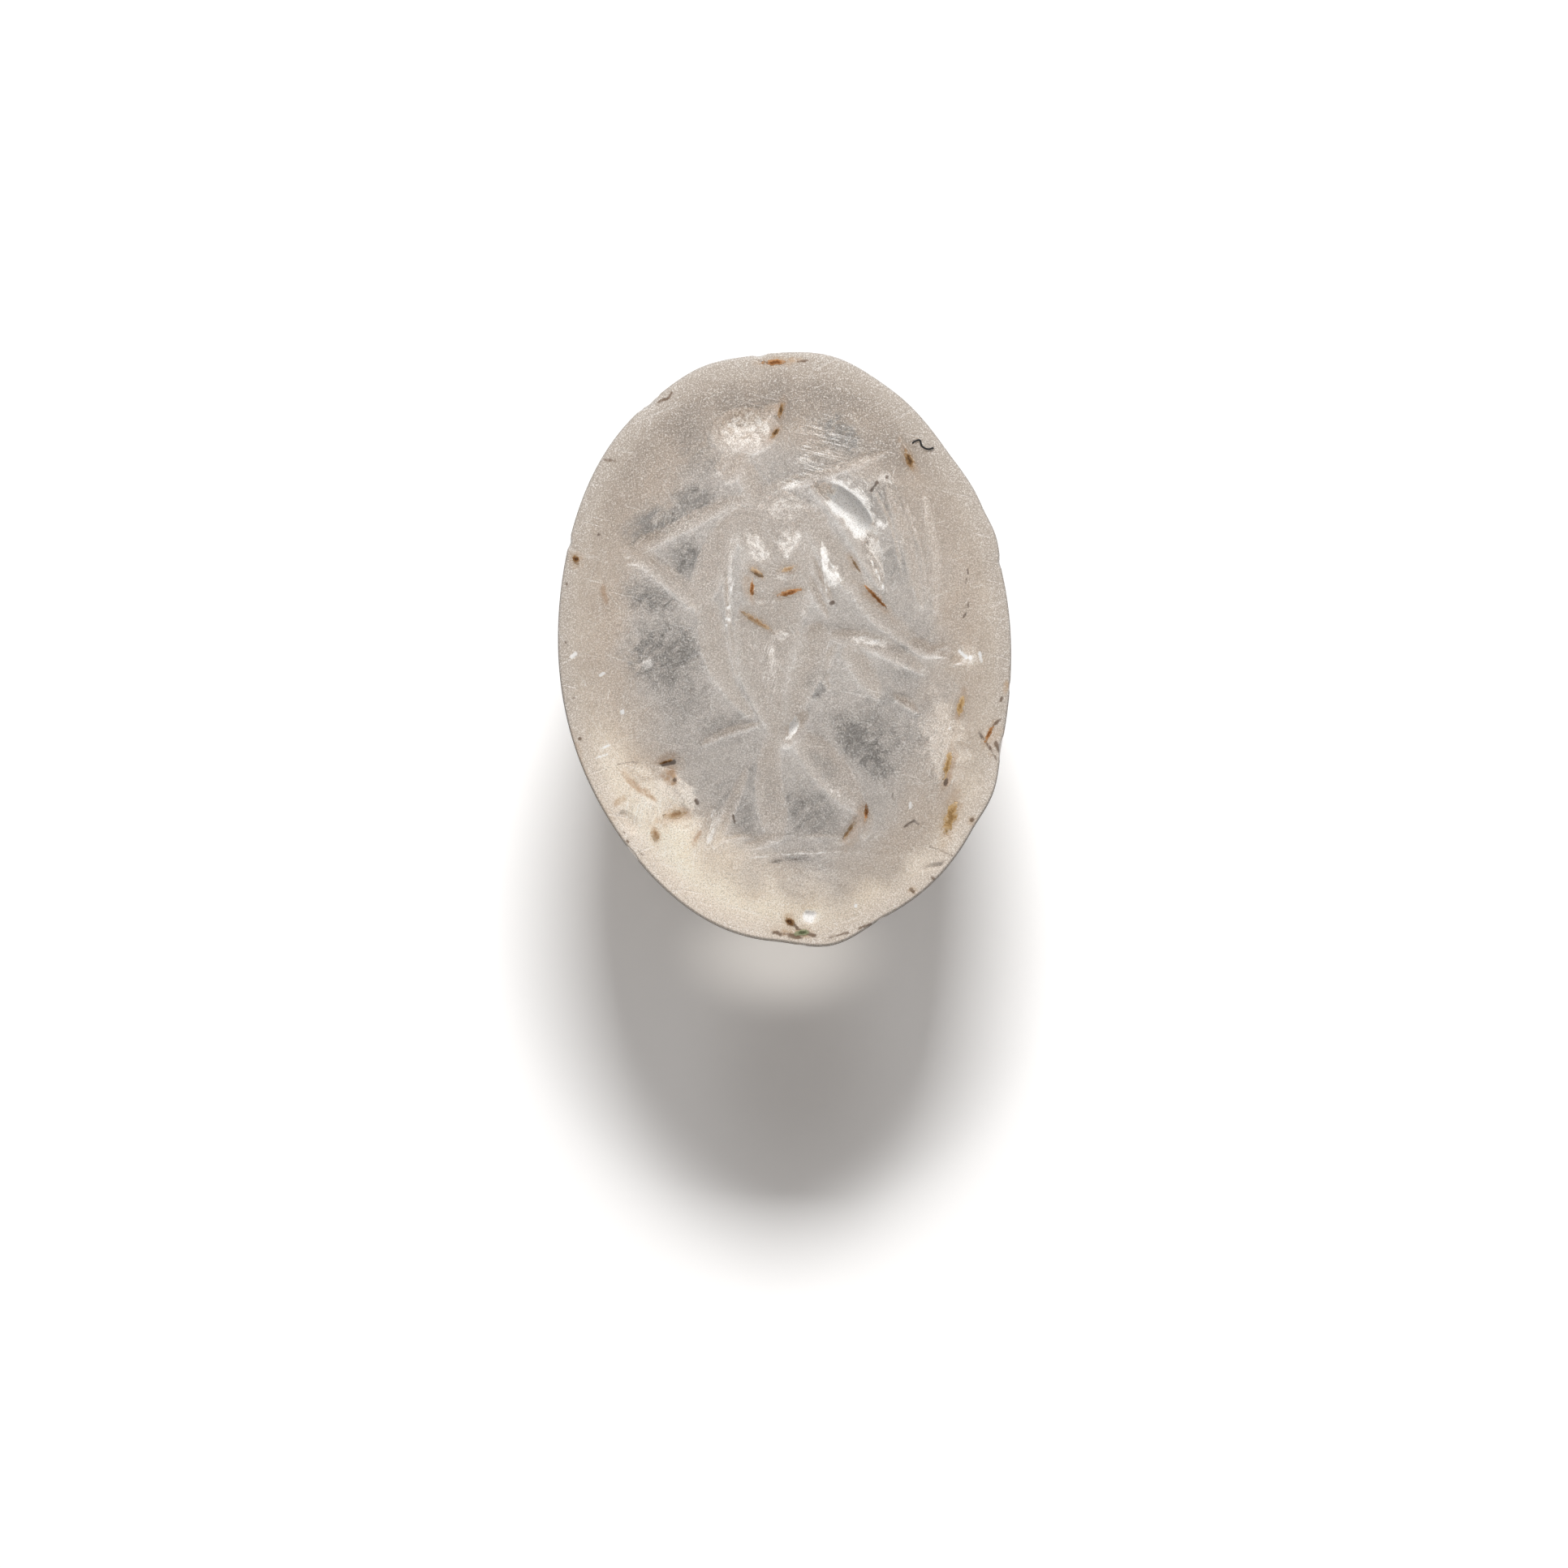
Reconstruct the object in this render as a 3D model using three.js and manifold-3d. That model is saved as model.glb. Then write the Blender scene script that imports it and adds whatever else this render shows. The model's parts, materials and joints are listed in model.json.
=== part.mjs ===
// Rock crystal ring stone with an engraved figure, as found, with old earth left in its cuts.
// Millimetres, Z up. The origin is at the centre of the flat back that beds in the ring,
// the engraved face looks along +Z and the figure's head points along +Y.

import * as THREE from 'three';
import { mergeVertices } from 'three/addons/utils/BufferGeometryUtils.js';
import Module from 'manifold-3d';

// The stone is an oval ground by hand, with walls that draw in to a flat back.
const stoneLength = 16.0;
const stoneWidth = 12.24;
const stoneLeanDegrees = 5.7;
const wallInset = 1.85;
const wallBulge = 0.16;
const backEdgeRadius = 0.2;
const girdleHeight = 4.2;
const girdleBand = 0.22;
const faceEdgeRadius = 0.32;
const domeRise = 0.48;

// Slow waves that grinding left in the outline: how many go round, their size and their place.
const grindingWaves = [
  { count: 2, sizeShare: 0.003, placeDegrees: 68 },
  { count: 3, sizeShare: 0.0025, placeDegrees: 150 },
  { count: 4, sizeShare: 0.004, placeDegrees: -147 },
  { count: 6, sizeShare: 0.0055, placeDegrees: 59 },
];

// The figure stands this tall, and its deepest hollow is this deep.
const figureHeight = 12.0;
const engravingDepth = 0.7;
const wheelLiftShare = 0.25;
const strokeFullness = 8;

// Flakes lost from the edge, and the crusts of earth and copper that fill old pits.
const chipLength = 1.0;
const crustLength = 0.6;
const crustThickness = 0.1;
const crustClearance = 0.02;

// Edges shorter than this are drawn together where a cut leaves them.
const shortestEdge = 0.004;

// Facets
const outlineSteps = 88;
const domeSteps = 5;
const arcSteps = 3;
const strokeSteps = 8;
const strokeSides = 8;
const ballSides = 10;
const ballRings = 6;
const crustSides = 8;
const crustRings = 4;

// Strokes of the engraving. Each line is one pass of the wheel, as places along its middle:
// x, y and half width as shares of the figure's height, and depth as a share of the deepest.
const strokeShares = {
  skull: [[-0.142, 0.473, 0.033, 0.5], [-0.096, 0.484, 0.056, 0.95], [-0.036, 0.489, 0.036, 0.5]],
  crest: [[-0.058, 0.518, 0.011, 0.3], [-0.035, 0.531, 0.015, 0.4], [-0.015, 0.542, 0.009, 0.25]],
  brow: [[-0.122, 0.444, 0.015, 0.4], [-0.135, 0.425, 0.011, 0.35], [-0.14, 0.407, 0.007, 0.25]],
  nose: [[-0.131, 0.42, 0.007, 0.3], [-0.149, 0.402, 0.009, 0.35], [-0.138, 0.393, 0.005, 0.25]],
  jaw: [[-0.095, 0.433, 0.024, 0.5], [-0.113, 0.4, 0.022, 0.5], [-0.131, 0.375, 0.015, 0.35]],
  neck: [[-0.091, 0.411, 0.022, 0.4], [-0.073, 0.356, 0.025, 0.5], [-0.044, 0.291, 0.029, 0.45]],

  chest: [[-0.135, 0.269, 0.036, 0.45], [-0.025, 0.287, 0.056, 0.55], [0.084, 0.273, 0.04, 0.45]],
  ribcage: [[-0.02, 0.302, 0.084, 0.55], [-0.016, 0.2, 0.089, 0.62], [-0.015, 0.069, 0.073, 0.5]],
  breastLeft: [[-0.065, 0.28, 0.031, 0.65], [-0.071, 0.24, 0.035, 0.82], [-0.047, 0.193, 0.024, 0.6]],
  breastRight: [[0.018, 0.276, 0.033, 0.65], [0.009, 0.236, 0.035, 0.82], [-0.015, 0.189, 0.024, 0.6]],
  belly: [[-0.015, 0.16, 0.065, 0.5], [-0.022, 0.045, 0.062, 0.8], [-0.033, -0.045, 0.049, 0.8],
    [-0.025, -0.113, 0.027, 0.55]],
  groin: [[-0.036, -0.047, 0.027, 0.7], [-0.022, -0.109, 0.022, 0.65], [-0.004, -0.167, 0.013, 0.5]],

  upperArmLeft: [[-0.116, 0.291, 0.029, 0.45], [-0.156, 0.2, 0.04, 0.52], [-0.193, 0.105, 0.031, 0.45]],
  forearmLeft: [[-0.171, 0.08, 0.024, 0.45], [-0.244, 0.142, 0.025, 0.45], [-0.305, 0.185, 0.02, 0.4]],
  handLeft: [[-0.287, 0.178, 0.018, 0.4], [-0.32, 0.2, 0.02, 0.42], [-0.345, 0.222, 0.011, 0.3]],
  upperArmRight: [[0.04, 0.295, 0.029, 0.45], [0.102, 0.218, 0.033, 0.52], [0.164, 0.131, 0.029, 0.5]],
  forearmRight: [[0.142, 0.164, 0.027, 0.48], [0.222, 0.065, 0.027, 0.48], [0.298, 0.004, 0.018, 0.4]],
  handRight: [[0.28, 0.015, 0.018, 0.42], [0.316, -0.007, 0.018, 0.42], [0.349, -0.011, 0.009, 0.3]],

  staff: [[-0.313, 0.229, 0.016, 0.35], [-0.225, 0.276, 0.018, 0.42], [-0.156, 0.309, 0.016, 0.4],
    [-0.011, 0.36, 0.013, 0.35], [0.135, 0.405, 0.013, 0.35], [0.247, 0.444, 0.009, 0.3]],
  staffKnob: [[-0.327, 0.222, 0.018, 0.35], [-0.302, 0.238, 0.022, 0.42], [-0.273, 0.253, 0.015, 0.35]],

  cloakHollow: [[0.058, 0.364, 0.016, 0.6], [0.12, 0.327, 0.031, 0.92], [0.164, 0.273, 0.035, 0.95],
    [0.193, 0.2, 0.024, 0.7], [0.218, 0.127, 0.009, 0.4]],
  cloakFoldInner: [[0.229, 0.364, 0.013, 0.25], [0.273, 0.236, 0.016, 0.3], [0.309, 0.08, 0.009, 0.25]],
  cloakFoldOuter: [[0.309, 0.353, 0.011, 0.2], [0.338, 0.207, 0.013, 0.22], [0.335, 0.058, 0.007, 0.2]],
  drapeLeft: [[-0.178, 0.109, 0.029, 0.4], [-0.156, 0, 0.031, 0.42], [-0.127, -0.091, 0.02, 0.36],
    [-0.065, -0.167, 0.009, 0.3]],

  thighLeft: [[-0.076, 0.08, 0.044, 0.55], [-0.062, -0.047, 0.045, 0.62],
    [-0.022, -0.182, 0.025, 0.52]],
  kneeLeft: [[-0.029, -0.16, 0.022, 0.5], [-0.016, -0.191, 0.025, 0.52], [-0.025, -0.225, 0.02, 0.45]],
  calfLeft: [[-0.029, -0.196, 0.018, 0.42], [-0.036, -0.302, 0.033, 0.48],
    [-0.022, -0.411, 0.038, 0.45]],
  footLeft: [[-0.007, -0.418, 0.016, 0.35], [-0.04, -0.433, 0.016, 0.34], [-0.08, -0.449, 0.009, 0.25]],
  thighRight: [[0.073, 0.04, 0.035, 0.5], [0.047, -0.058, 0.038, 0.58], [0.007, -0.167, 0.02, 0.5]],
  kneeRight: [[0.044, -0.149, 0.015, 0.6], [0.022, -0.182, 0.02, 0.88], [0, -0.222, 0.013, 0.6]],
  shinRight: [[0.018, -0.185, 0.022, 0.5], [0.098, -0.273, 0.044, 0.66], [0.178, -0.375, 0.018, 0.45]],
  footRight: [[0.164, -0.349, 0.013, 0.4], [0.185, -0.389, 0.016, 0.42], [0.178, -0.429, 0.011, 0.35]],
  soleRight: [[0.164, -0.385, 0.009, 0.3], [0.144, -0.418, 0.013, 0.35], [0.122, -0.442, 0.007, 0.25]],

  loopOuter: [[0.095, 0.029, 0.016, 0.3], [0.207, 0.004, 0.024, 0.38], [0.32, -0.058, 0.015, 0.3]],
  loopInner: [[0.135, 0, 0.018, 0.3], [0.178, -0.058, 0.027, 0.38], [0.211, -0.116, 0.013, 0.25]],
  loopFold: [[0.113, 0.004, 0.011, 0.3], [0.087, -0.047, 0.015, 0.32], [0.098, -0.098, 0.007, 0.25]],
  bar: [[0.244, -0.109, 0.007, 0.3], [0.271, -0.127, 0.011, 0.42], [0.302, -0.149, 0.005, 0.3]],

  sashUpper: [[-0.196, -0.225, 0.007, 0.2], [-0.127, -0.191, 0.011, 0.3],
    [-0.051, -0.171, 0.007, 0.25]],
  sashLower: [[-0.084, -0.269, 0.009, 0.25], [-0.124, -0.364, 0.016, 0.34],
    [-0.162, -0.455, 0.009, 0.25]],
  ground: [[-0.178, -0.473, 0.007, 0.2], [-0.015, -0.464, 0.011, 0.32], [0.175, -0.462, 0.011, 0.32],
    [0.396, -0.476, 0.005, 0.2]],
};

// Fine strokes side by side behind the head: where the first and the last run.
const combCount = 5;
const combFirstShares = [[0.035, 0.508, 0.006, 0.2], [0.08, 0.524, 0.008, 0.26],
  [0.125, 0.52, 0.005, 0.18]];
const combLastShares = [[0.035, 0.415, 0.006, 0.2], [0.08, 0.43, 0.008, 0.26],
  [0.14, 0.452, 0.005, 0.18]];

// Flakes off the edge: place round the oval, and length along the edge, bite into the stone
// and height, as shares of a chip's length.
const chips = [
  { placeDegrees: -23, alongShare: 1.5, biteShare: 0.06, heightShare: 0.75 },
  { placeDegrees: -12, alongShare: 0.5, biteShare: 0.04, heightShare: 0.5 },
  { placeDegrees: 12, alongShare: 0.45, biteShare: 0.08, heightShare: 0.6 },
  { placeDegrees: 90, alongShare: 0.35, biteShare: 0.06, heightShare: 0.5 },
  { placeDegrees: 121, alongShare: 1.3, biteShare: 0.11, heightShare: 0.8 },
  { placeDegrees: 155, alongShare: 0.45, biteShare: 0.1, heightShare: 0.6 },
  { placeDegrees: -141, alongShare: 1.2, biteShare: 0.05, heightShare: 0.7 },
  { placeDegrees: -94, alongShare: 0.9, biteShare: 0.04, heightShare: 0.8 },
  { placeDegrees: -75, alongShare: 0.4, biteShare: 0.08, heightShare: 0.5 },
];

// Shell-like scars on the face: place as shares of the oval's half width and half length,
// half length, half width and depth as shares of a chip's length, and turn.
const scarLiftShare = 1.5;
const scars = [
  { ovalShares: [-0.569, -0.368], sizeShares: [0.62, 0.38, 0.2], turnDegrees: 20 },
  { ovalShares: [-0.561, -0.531], sizeShares: [0.7, 0.42, 0.22], turnDegrees: -35 },
  { ovalShares: [-0.666, -0.44], sizeShares: [0.48, 0.32, 0.16], turnDegrees: -60 },
  { ovalShares: [-0.015, -0.9], sizeShares: [0.32, 0.26, 0.2], turnDegrees: 0 },
];

// Crusts, each in a pit of its own: place as shares of the figure's height, or of the oval's
// half width and half length, then length and width as shares of a crust's length, and turn.
const brown = '#8a4a1c';
const dark = '#4a2e1a';
const ochre = '#b58a50';
const green = '#5f7d55';
const crusts = [
  { name: 'earth_crest_upper', ovalShares: [0.086, 0.797],
    sizeShares: [0.75, 0.3], turnDegrees: 75, color: brown },
  { name: 'earth_crest_lower', ovalShares: [0.051, 0.723],
    sizeShares: [0.66, 0.28], turnDegrees: 55, color: brown },
  { name: 'earth_rib_upper_left', figureShares: [-0.065, 0.167],
    sizeShares: [0.6, 0.26], turnDegrees: -35, color: brown },
  { name: 'earth_rib_upper_right', figureShares: [0.008, 0.175],
    sizeShares: [0.6, 0.26], turnDegrees: 15, color: brown },
  { name: 'earth_rib_side', figureShares: [-0.075, 0.131],
    sizeShares: [0.75, 0.28], turnDegrees: 85, color: brown },
  { name: 'earth_rib_lower', figureShares: [0.01, 0.122],
    sizeShares: [0.9, 0.28], turnDegrees: 15, color: brown },
  { name: 'earth_hip', figureShares: [-0.065, 0.058],
    sizeShares: [1.2, 0.24], turnDegrees: -31, color: ochre },
  { name: 'earth_arm_upper', figureShares: [0.156, 0.189],
    sizeShares: [0.7, 0.22], turnDegrees: -55, color: ochre },
  { name: 'earth_arm_lower', figureShares: [0.205, 0.111],
    sizeShares: [1.35, 0.28], turnDegrees: -45, color: brown },
  { name: 'earth_foot', figureShares: [0.182, -0.376],
    sizeShares: [0.8, 0.28], turnDegrees: 80, color: brown },
  { name: 'earth_sole', figureShares: [0.144, -0.413],
    sizeShares: [0.9, 0.28], turnDegrees: 55, color: brown },
  { name: 'earth_face_right', ovalShares: [0.626, 0.589],
    sizeShares: [1.05, 0.32], turnDegrees: -66, color: dark },
  { name: 'earth_side_upper', ovalShares: [0.745, -0.257],
    sizeShares: [1.0, 0.28], turnDegrees: 78, color: ochre },
  { name: 'earth_side_middle', ovalShares: [0.659, -0.454],
    sizeShares: [1.6, 0.24], turnDegrees: 77, color: ochre },
  { name: 'earth_side_lower', ovalShares: [0.651, -0.626],
    sizeShares: [1.8, 0.5], turnDegrees: 75, color: ochre },
  { name: 'earth_scar_upper', ovalShares: [-0.576, -0.346],
    sizeShares: [0.8, 0.4], turnDegrees: 15, color: dark },
  { name: 'earth_scar_lower', ovalShares: [-0.56, -0.526],
    sizeShares: [1.3, 0.34], turnDegrees: 12, color: ochre },
  { name: 'earth_scar_side', ovalShares: [-0.653, -0.59],
    sizeShares: [0.6, 0.3], turnDegrees: 100, color: ochre },
  { name: 'earth_left_edge', ovalShares: [-0.879, 0.364],
    sizeShares: [0.5, 0.4], turnDegrees: 120, color: dark },
  { name: 'earth_top_edge', ovalShares: [0.076, 0.96],
    sizeShares: [1.1, 0.28], turnDegrees: 2, color: brown },
  { name: 'earth_right_chip', ovalShares: [0.856, -0.36],
    sizeShares: [0.9, 0.26], turnDegrees: 65, color: brown },
  { name: 'earth_bottom_chip', ovalShares: [-0.1, -0.925],
    sizeShares: [0.6, 0.36], turnDegrees: -50, color: dark },
  { name: 'copper_bottom_chip', ovalShares: [-0.05, -0.965],
    sizeShares: [0.7, 0.36], turnDegrees: 10, color: green },
];

const crystalColor = '#beb3a9';
const crystalRoughness = 0.3;
const crustRoughness = 0.9;

const wasm = await Module();
wasm.setup();

// Solids that can be cut, and back to geometry.
function toSolid(geometry) {
  const bare = geometry.clone();
  bare.deleteAttribute('normal');
  bare.deleteAttribute('uv');
  const merged = mergeVertices(bare);
  return new wasm.Manifold(new wasm.Mesh({
    numProp: 3,
    vertProperties: merged.attributes.position.array,
    triVerts: Uint32Array.from(merged.index.array),
  }));
}

function toGeometry(solid) {
  const mesh = solid.getMesh();
  const geometry = new THREE.BufferGeometry();
  geometry.setAttribute('position', new THREE.BufferAttribute(mesh.vertProperties, 3));
  geometry.setIndex(new THREE.BufferAttribute(mesh.triVerts, 1));
  geometry.computeVertexNormals();
  return geometry;
}

// Draws together the ends of each edge that cutting left shorter than the shortest edge.
// An edge stays where its ends share more than two neighbours or a face would turn over.
function withoutShortEdges(geometry) {
  const { position } = geometry.attributes;
  const points = Array.from({ length: position.count }, (unused, at) => (
    new THREE.Vector3().fromBufferAttribute(position, at)
  ));
  const facesAt = points.map(() => new Set());
  const faces = [];
  for (let at = 0; at < geometry.index.count; at += 3) {
    const face = Array.from(geometry.index.array.slice(at, at + 3));
    faces.push(face);
    face.forEach((point) => facesAt[point].add(face));
  }
  const neighbours = (point) => new Set([...facesAt[point]].flat().filter((other) => other !== point));
  const normal = (corners) => new THREE.Triangle(...corners.map((corner) => points[corner]))
    .getNormal(new THREE.Vector3());

  function collapse(kept, lost) {
    const nearKept = neighbours(kept);
    const shared = [...neighbours(lost)].filter((point) => nearKept.has(point));
    const moved = [...facesAt[lost]].filter((face) => !face.includes(kept));
    const turnsOver = moved.some((face) => {
      const corners = face.map((point) => (point === lost ? kept : point));
      return normal(corners).dot(normal(face)) <= 0;
    });
    if (shared.length !== 2 || turnsOver) return false;
    for (const face of facesAt[lost]) {
      if (face.includes(kept)) {
        face.forEach((point) => facesAt[point].delete(face));
        face.length = 0;
      } else {
        face[face.indexOf(lost)] = kept;
        facesAt[kept].add(face);
      }
    }
    facesAt[lost].clear();
    return true;
  }

  let changed = true;
  while (changed) {
    changed = false;
    for (const face of faces) {
      const short = face.findIndex((point, corner) => (
        points[point].distanceTo(points[face[(corner + 1) % 3]]) < shortestEdge
      ));
      if (short >= 0) {
        const ends = [face[short], face[(short + 1) % 3]];
        changed = collapse(...ends) || collapse(...ends.reverse()) || changed;
      }
    }
  }
  const bare = new THREE.BufferGeometry().setFromPoints(points);
  bare.setIndex(faces.flat());
  return mergeVertices(bare.toNonIndexed());
}

// A closed skin over rings of equal count, between a first and a last single point.
function skin(firstPoint, rings, lastPoint) {
  const count = rings[0].length;
  const points = [firstPoint, ...rings.flat(), lastPoint];
  const ringStart = (ring) => 1 + ring * count;
  const last = points.length - 1;
  const triangles = [];
  for (let step = 0; step < count; step += 1) {
    const next = (step + 1) % count;
    triangles.push(0, ringStart(0) + next, ringStart(0) + step);
    for (let ring = 0; ring + 1 < rings.length; ring += 1) {
      const low = ringStart(ring);
      const high = ringStart(ring + 1);
      triangles.push(low + step, low + next, high + next);
      triangles.push(low + step, high + next, high + step);
    }
    const end = ringStart(rings.length - 1);
    triangles.push(end + step, end + next, last);
  }
  const geometry = new THREE.BufferGeometry().setFromPoints(points);
  geometry.setIndex(triangles);
  return geometry;
}

// The oval at one inset from the girdle, turned to its lean.
const upward = new THREE.Vector3(0, 0, 1);
const lean = THREE.MathUtils.degToRad(stoneLeanDegrees);

function ovalPoint(angle, inset, height, share = 1) {
  let reach = share;
  for (const wave of grindingWaves) {
    const place = THREE.MathUtils.degToRad(wave.placeDegrees);
    reach += share * wave.sizeShare * Math.cos(wave.count * angle - place);
  }
  const across = (stoneWidth / 2 - inset) * reach * Math.cos(angle);
  const along = (stoneLength / 2 - inset) * reach * Math.sin(angle);
  return new THREE.Vector3(across, along, height).applyAxisAngle(upward, lean);
}

function ovalRing(inset, height, share) {
  return Array.from({ length: outlineSteps }, (unused, step) => (
    ovalPoint((step / outlineSteps) * 2 * Math.PI, inset, height, share)
  ));
}

// The face: a low dome inside the rounded edge.
const faceEdgeHeight = girdleHeight + girdleBand + faceEdgeRadius;

function faceHeight(x, y) {
  const place = new THREE.Vector3(x, y, 0).applyAxisAngle(upward, -lean);
  const across = place.x / (stoneWidth / 2 - faceEdgeRadius);
  const along = place.y / (stoneLength / 2 - faceEdgeRadius);
  return faceEdgeHeight + domeRise * Math.max(0, 1 - across ** 2 - along ** 2);
}

// From the back's edge up the bulging wall, over the girdle and round the edge of the face,
// as inset and height.
function wallProfile() {
  const foot = new THREE.Vector2(wallInset, 0);
  const girdle = new THREE.Vector2(0, girdleHeight);
  const wall = girdle.clone().sub(foot);
  const start = foot.clone().addScaledVector(wall, backEdgeRadius / wall.length());
  const bulge = new THREE.Vector2(-wall.y, wall.x).setLength(2 * wallBulge);
  const middle = start.clone().lerp(girdle, 0.5).add(bulge);
  const profile = new THREE.Path();
  profile.moveTo(wallInset + backEdgeRadius, 0);
  profile.quadraticCurveTo(foot.x, foot.y, start.x, start.y);
  profile.quadraticCurveTo(middle.x, middle.y, girdle.x, girdle.y);
  profile.lineTo(0, girdleHeight + girdleBand);
  profile.quadraticCurveTo(0, faceEdgeHeight, faceEdgeRadius, faceEdgeHeight);
  return profile.getPoints(arcSteps);
}

function roughStone() {
  const rings = wallProfile().map((point) => ovalRing(point.x, point.y));
  for (let step = 1; step < domeSteps; step += 1) {
    const share = 1 - step / domeSteps;
    rings.push(ovalRing(faceEdgeRadius, faceEdgeHeight + domeRise * (1 - share ** 2), share));
  }
  const back = new THREE.Vector3(0, 0, 0);
  const crown = new THREE.Vector3(0, 0, faceEdgeHeight + domeRise);
  return skin(back, rings, crown);
}

// One pass of the wheel: oval sections along a smooth path, drawn in to a point at each end.
// They stand a little above the face, so the cut opens outward.
function strokeGeometry(places) {
  const path = new THREE.CatmullRomCurve3(places.map(([x, y]) => new THREE.Vector3(x, y, 0)));
  const sizes = new THREE.CatmullRomCurve3(places.map(([, , width, depth]) => (
    new THREE.Vector3(width, depth, 0)
  )));
  const centreAt = (share) => {
    const point = path.getPoint(share).multiplyScalar(figureHeight);
    return point.setZ(faceHeight(point.x, point.y));
  };
  const rings = [];
  for (let step = 1; step < strokeSteps; step += 1) {
    const fromMiddle = Math.cos((step / strokeSteps) * Math.PI);
    const share = (1 - fromMiddle) / 2;
    const fullness = Math.sqrt(1 - Math.abs(fromMiddle) ** strokeFullness);
    const size = sizes.getPoint(share);
    const halfWidth = size.x * figureHeight * fullness;
    const depth = size.y * engravingDepth * fullness;
    const centre = centreAt(share).addScaledVector(upward, depth * wheelLiftShare);
    const side = upward.clone().cross(path.getTangent(share)).normalize();
    rings.push(Array.from({ length: strokeSides }, (unused, corner) => {
      const angle = (corner / strokeSides) * 2 * Math.PI;
      return centre.clone()
        .addScaledVector(side, halfWidth * Math.cos(angle))
        .addScaledVector(upward, depth * (1 + wheelLiftShare) * Math.sin(angle));
    }));
  }
  return skin(centreAt(0), rings, centreAt(1));
}

// Fine strokes, spread evenly from the first to the last.
function combStrokes() {
  return Array.from({ length: combCount }, (unused, stroke) => {
    const share = stroke / (combCount - 1);
    return combFirstShares.map((place, row) => place.map((value, column) => (
      THREE.MathUtils.lerp(value, combLastShares[row][column], share)
    )));
  });
}

// A ball drawn out to an oval lump, then turned and placed.
function lump(halfLength, halfWidth, halfHeight, sides, rings) {
  return new THREE.SphereGeometry(1, sides, rings)
    .rotateX(Math.PI / 2)
    .scale(halfLength, halfWidth, halfHeight);
}

function chipGeometry(chip) {
  const angle = THREE.MathUtils.degToRad(chip.placeDegrees);
  const edge = ovalPoint(angle, 0, girdleHeight + girdleBand);
  const outward = new THREE.Vector3(edge.x, edge.y, 0).normalize();
  const half = chip.alongShare * chipLength / 2;
  const height = chip.heightShare * chipLength;
  const centre = edge.addScaledVector(outward, half - chip.biteShare * chipLength);
  return lump(half, half, height, ballSides, ballRings).translate(centre.x, centre.y, centre.z);
}

// The place of a scar or a crust, over the figure or on the leaning oval.
function placeOf({ figureShares, ovalShares }) {
  if (figureShares) {
    const [x, y] = figureShares;
    return new THREE.Vector3(x, y, 0).multiplyScalar(figureHeight);
  }
  const [across, along] = ovalShares;
  const place = new THREE.Vector3(across * stoneWidth / 2, along * stoneLength / 2, 0);
  return place.applyAxisAngle(upward, lean);
}

function scarGeometry(scar) {
  const { x, y } = placeOf(scar);
  const [along, across, depth] = scar.sizeShares.map((share) => share * chipLength);
  return lump(along, across, depth * (1 + scarLiftShare), ballSides, ballRings)
    .rotateZ(THREE.MathUtils.degToRad(scar.turnDegrees))
    .translate(x, y, faceHeight(x, y) + depth * scarLiftShare);
}

// The stone with its engraving and its damage, before the crusts are seated.
let stone = toSolid(roughStone());
const cuts = [
  ...Object.values(strokeShares).map(strokeGeometry),
  ...combStrokes().map(strokeGeometry),
  ...chips.map(chipGeometry),
  ...scars.map(scarGeometry),
];
for (const cut of cuts) {
  stone = stone.subtract(toSolid(cut));
}

// A crust sits half sunk in its pit, square to the surface that it lies on.
const surface = new THREE.Mesh(toGeometry(stone));
const crustMeshes = crusts.map((crust) => {
  const [length, width] = crust.sizeShares.map((share) => share * crustLength);
  const above = placeOf(crust).setZ(stoneLength);
  const [hit] = new THREE.Raycaster(above, upward.clone().negate()).intersectObject(surface);
  const turnAngle = THREE.MathUtils.degToRad(crust.turnDegrees);
  const turn = new THREE.Quaternion().setFromAxisAngle(upward, turnAngle);
  const tilt = new THREE.Quaternion().setFromUnitVectors(upward, hit.face.normal);
  const half = [length / 2, width / 2, crustThickness / 2];
  const mesh = new THREE.Mesh(
    lump(...half, crustSides, crustRings),
    new THREE.MeshStandardMaterial({ color: crust.color, roughness: crustRoughness, metalness: 0 }),
  );
  mesh.name = crust.name;
  mesh.position.copy(hit.point);
  mesh.quaternion.copy(tilt.multiply(turn));
  mesh.updateMatrix();
  const pit = lump(...half.map((size) => size + crustClearance), crustSides, crustRings);
  stone = stone.subtract(toSolid(pit.applyMatrix4(mesh.matrix)));
  return mesh;
});

const stoneMesh = new THREE.Mesh(
  withoutShortEdges(toGeometry(stone)),
  new THREE.MeshStandardMaterial({ color: crystalColor, roughness: crystalRoughness, metalness: 0 }),
);
stoneMesh.name = 'crystal_stone';

const ringStone = new THREE.Group();
ringStone.name = 'rock_crystal_ring_stone';
ringStone.add(stoneMesh, ...crustMeshes);

export default ringStone;
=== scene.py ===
"""Rock crystal ring stone, engraved with a standing figure, seen from straight above.

Metres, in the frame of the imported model. The tables below give millimetres.
"""

import json
import math

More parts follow.
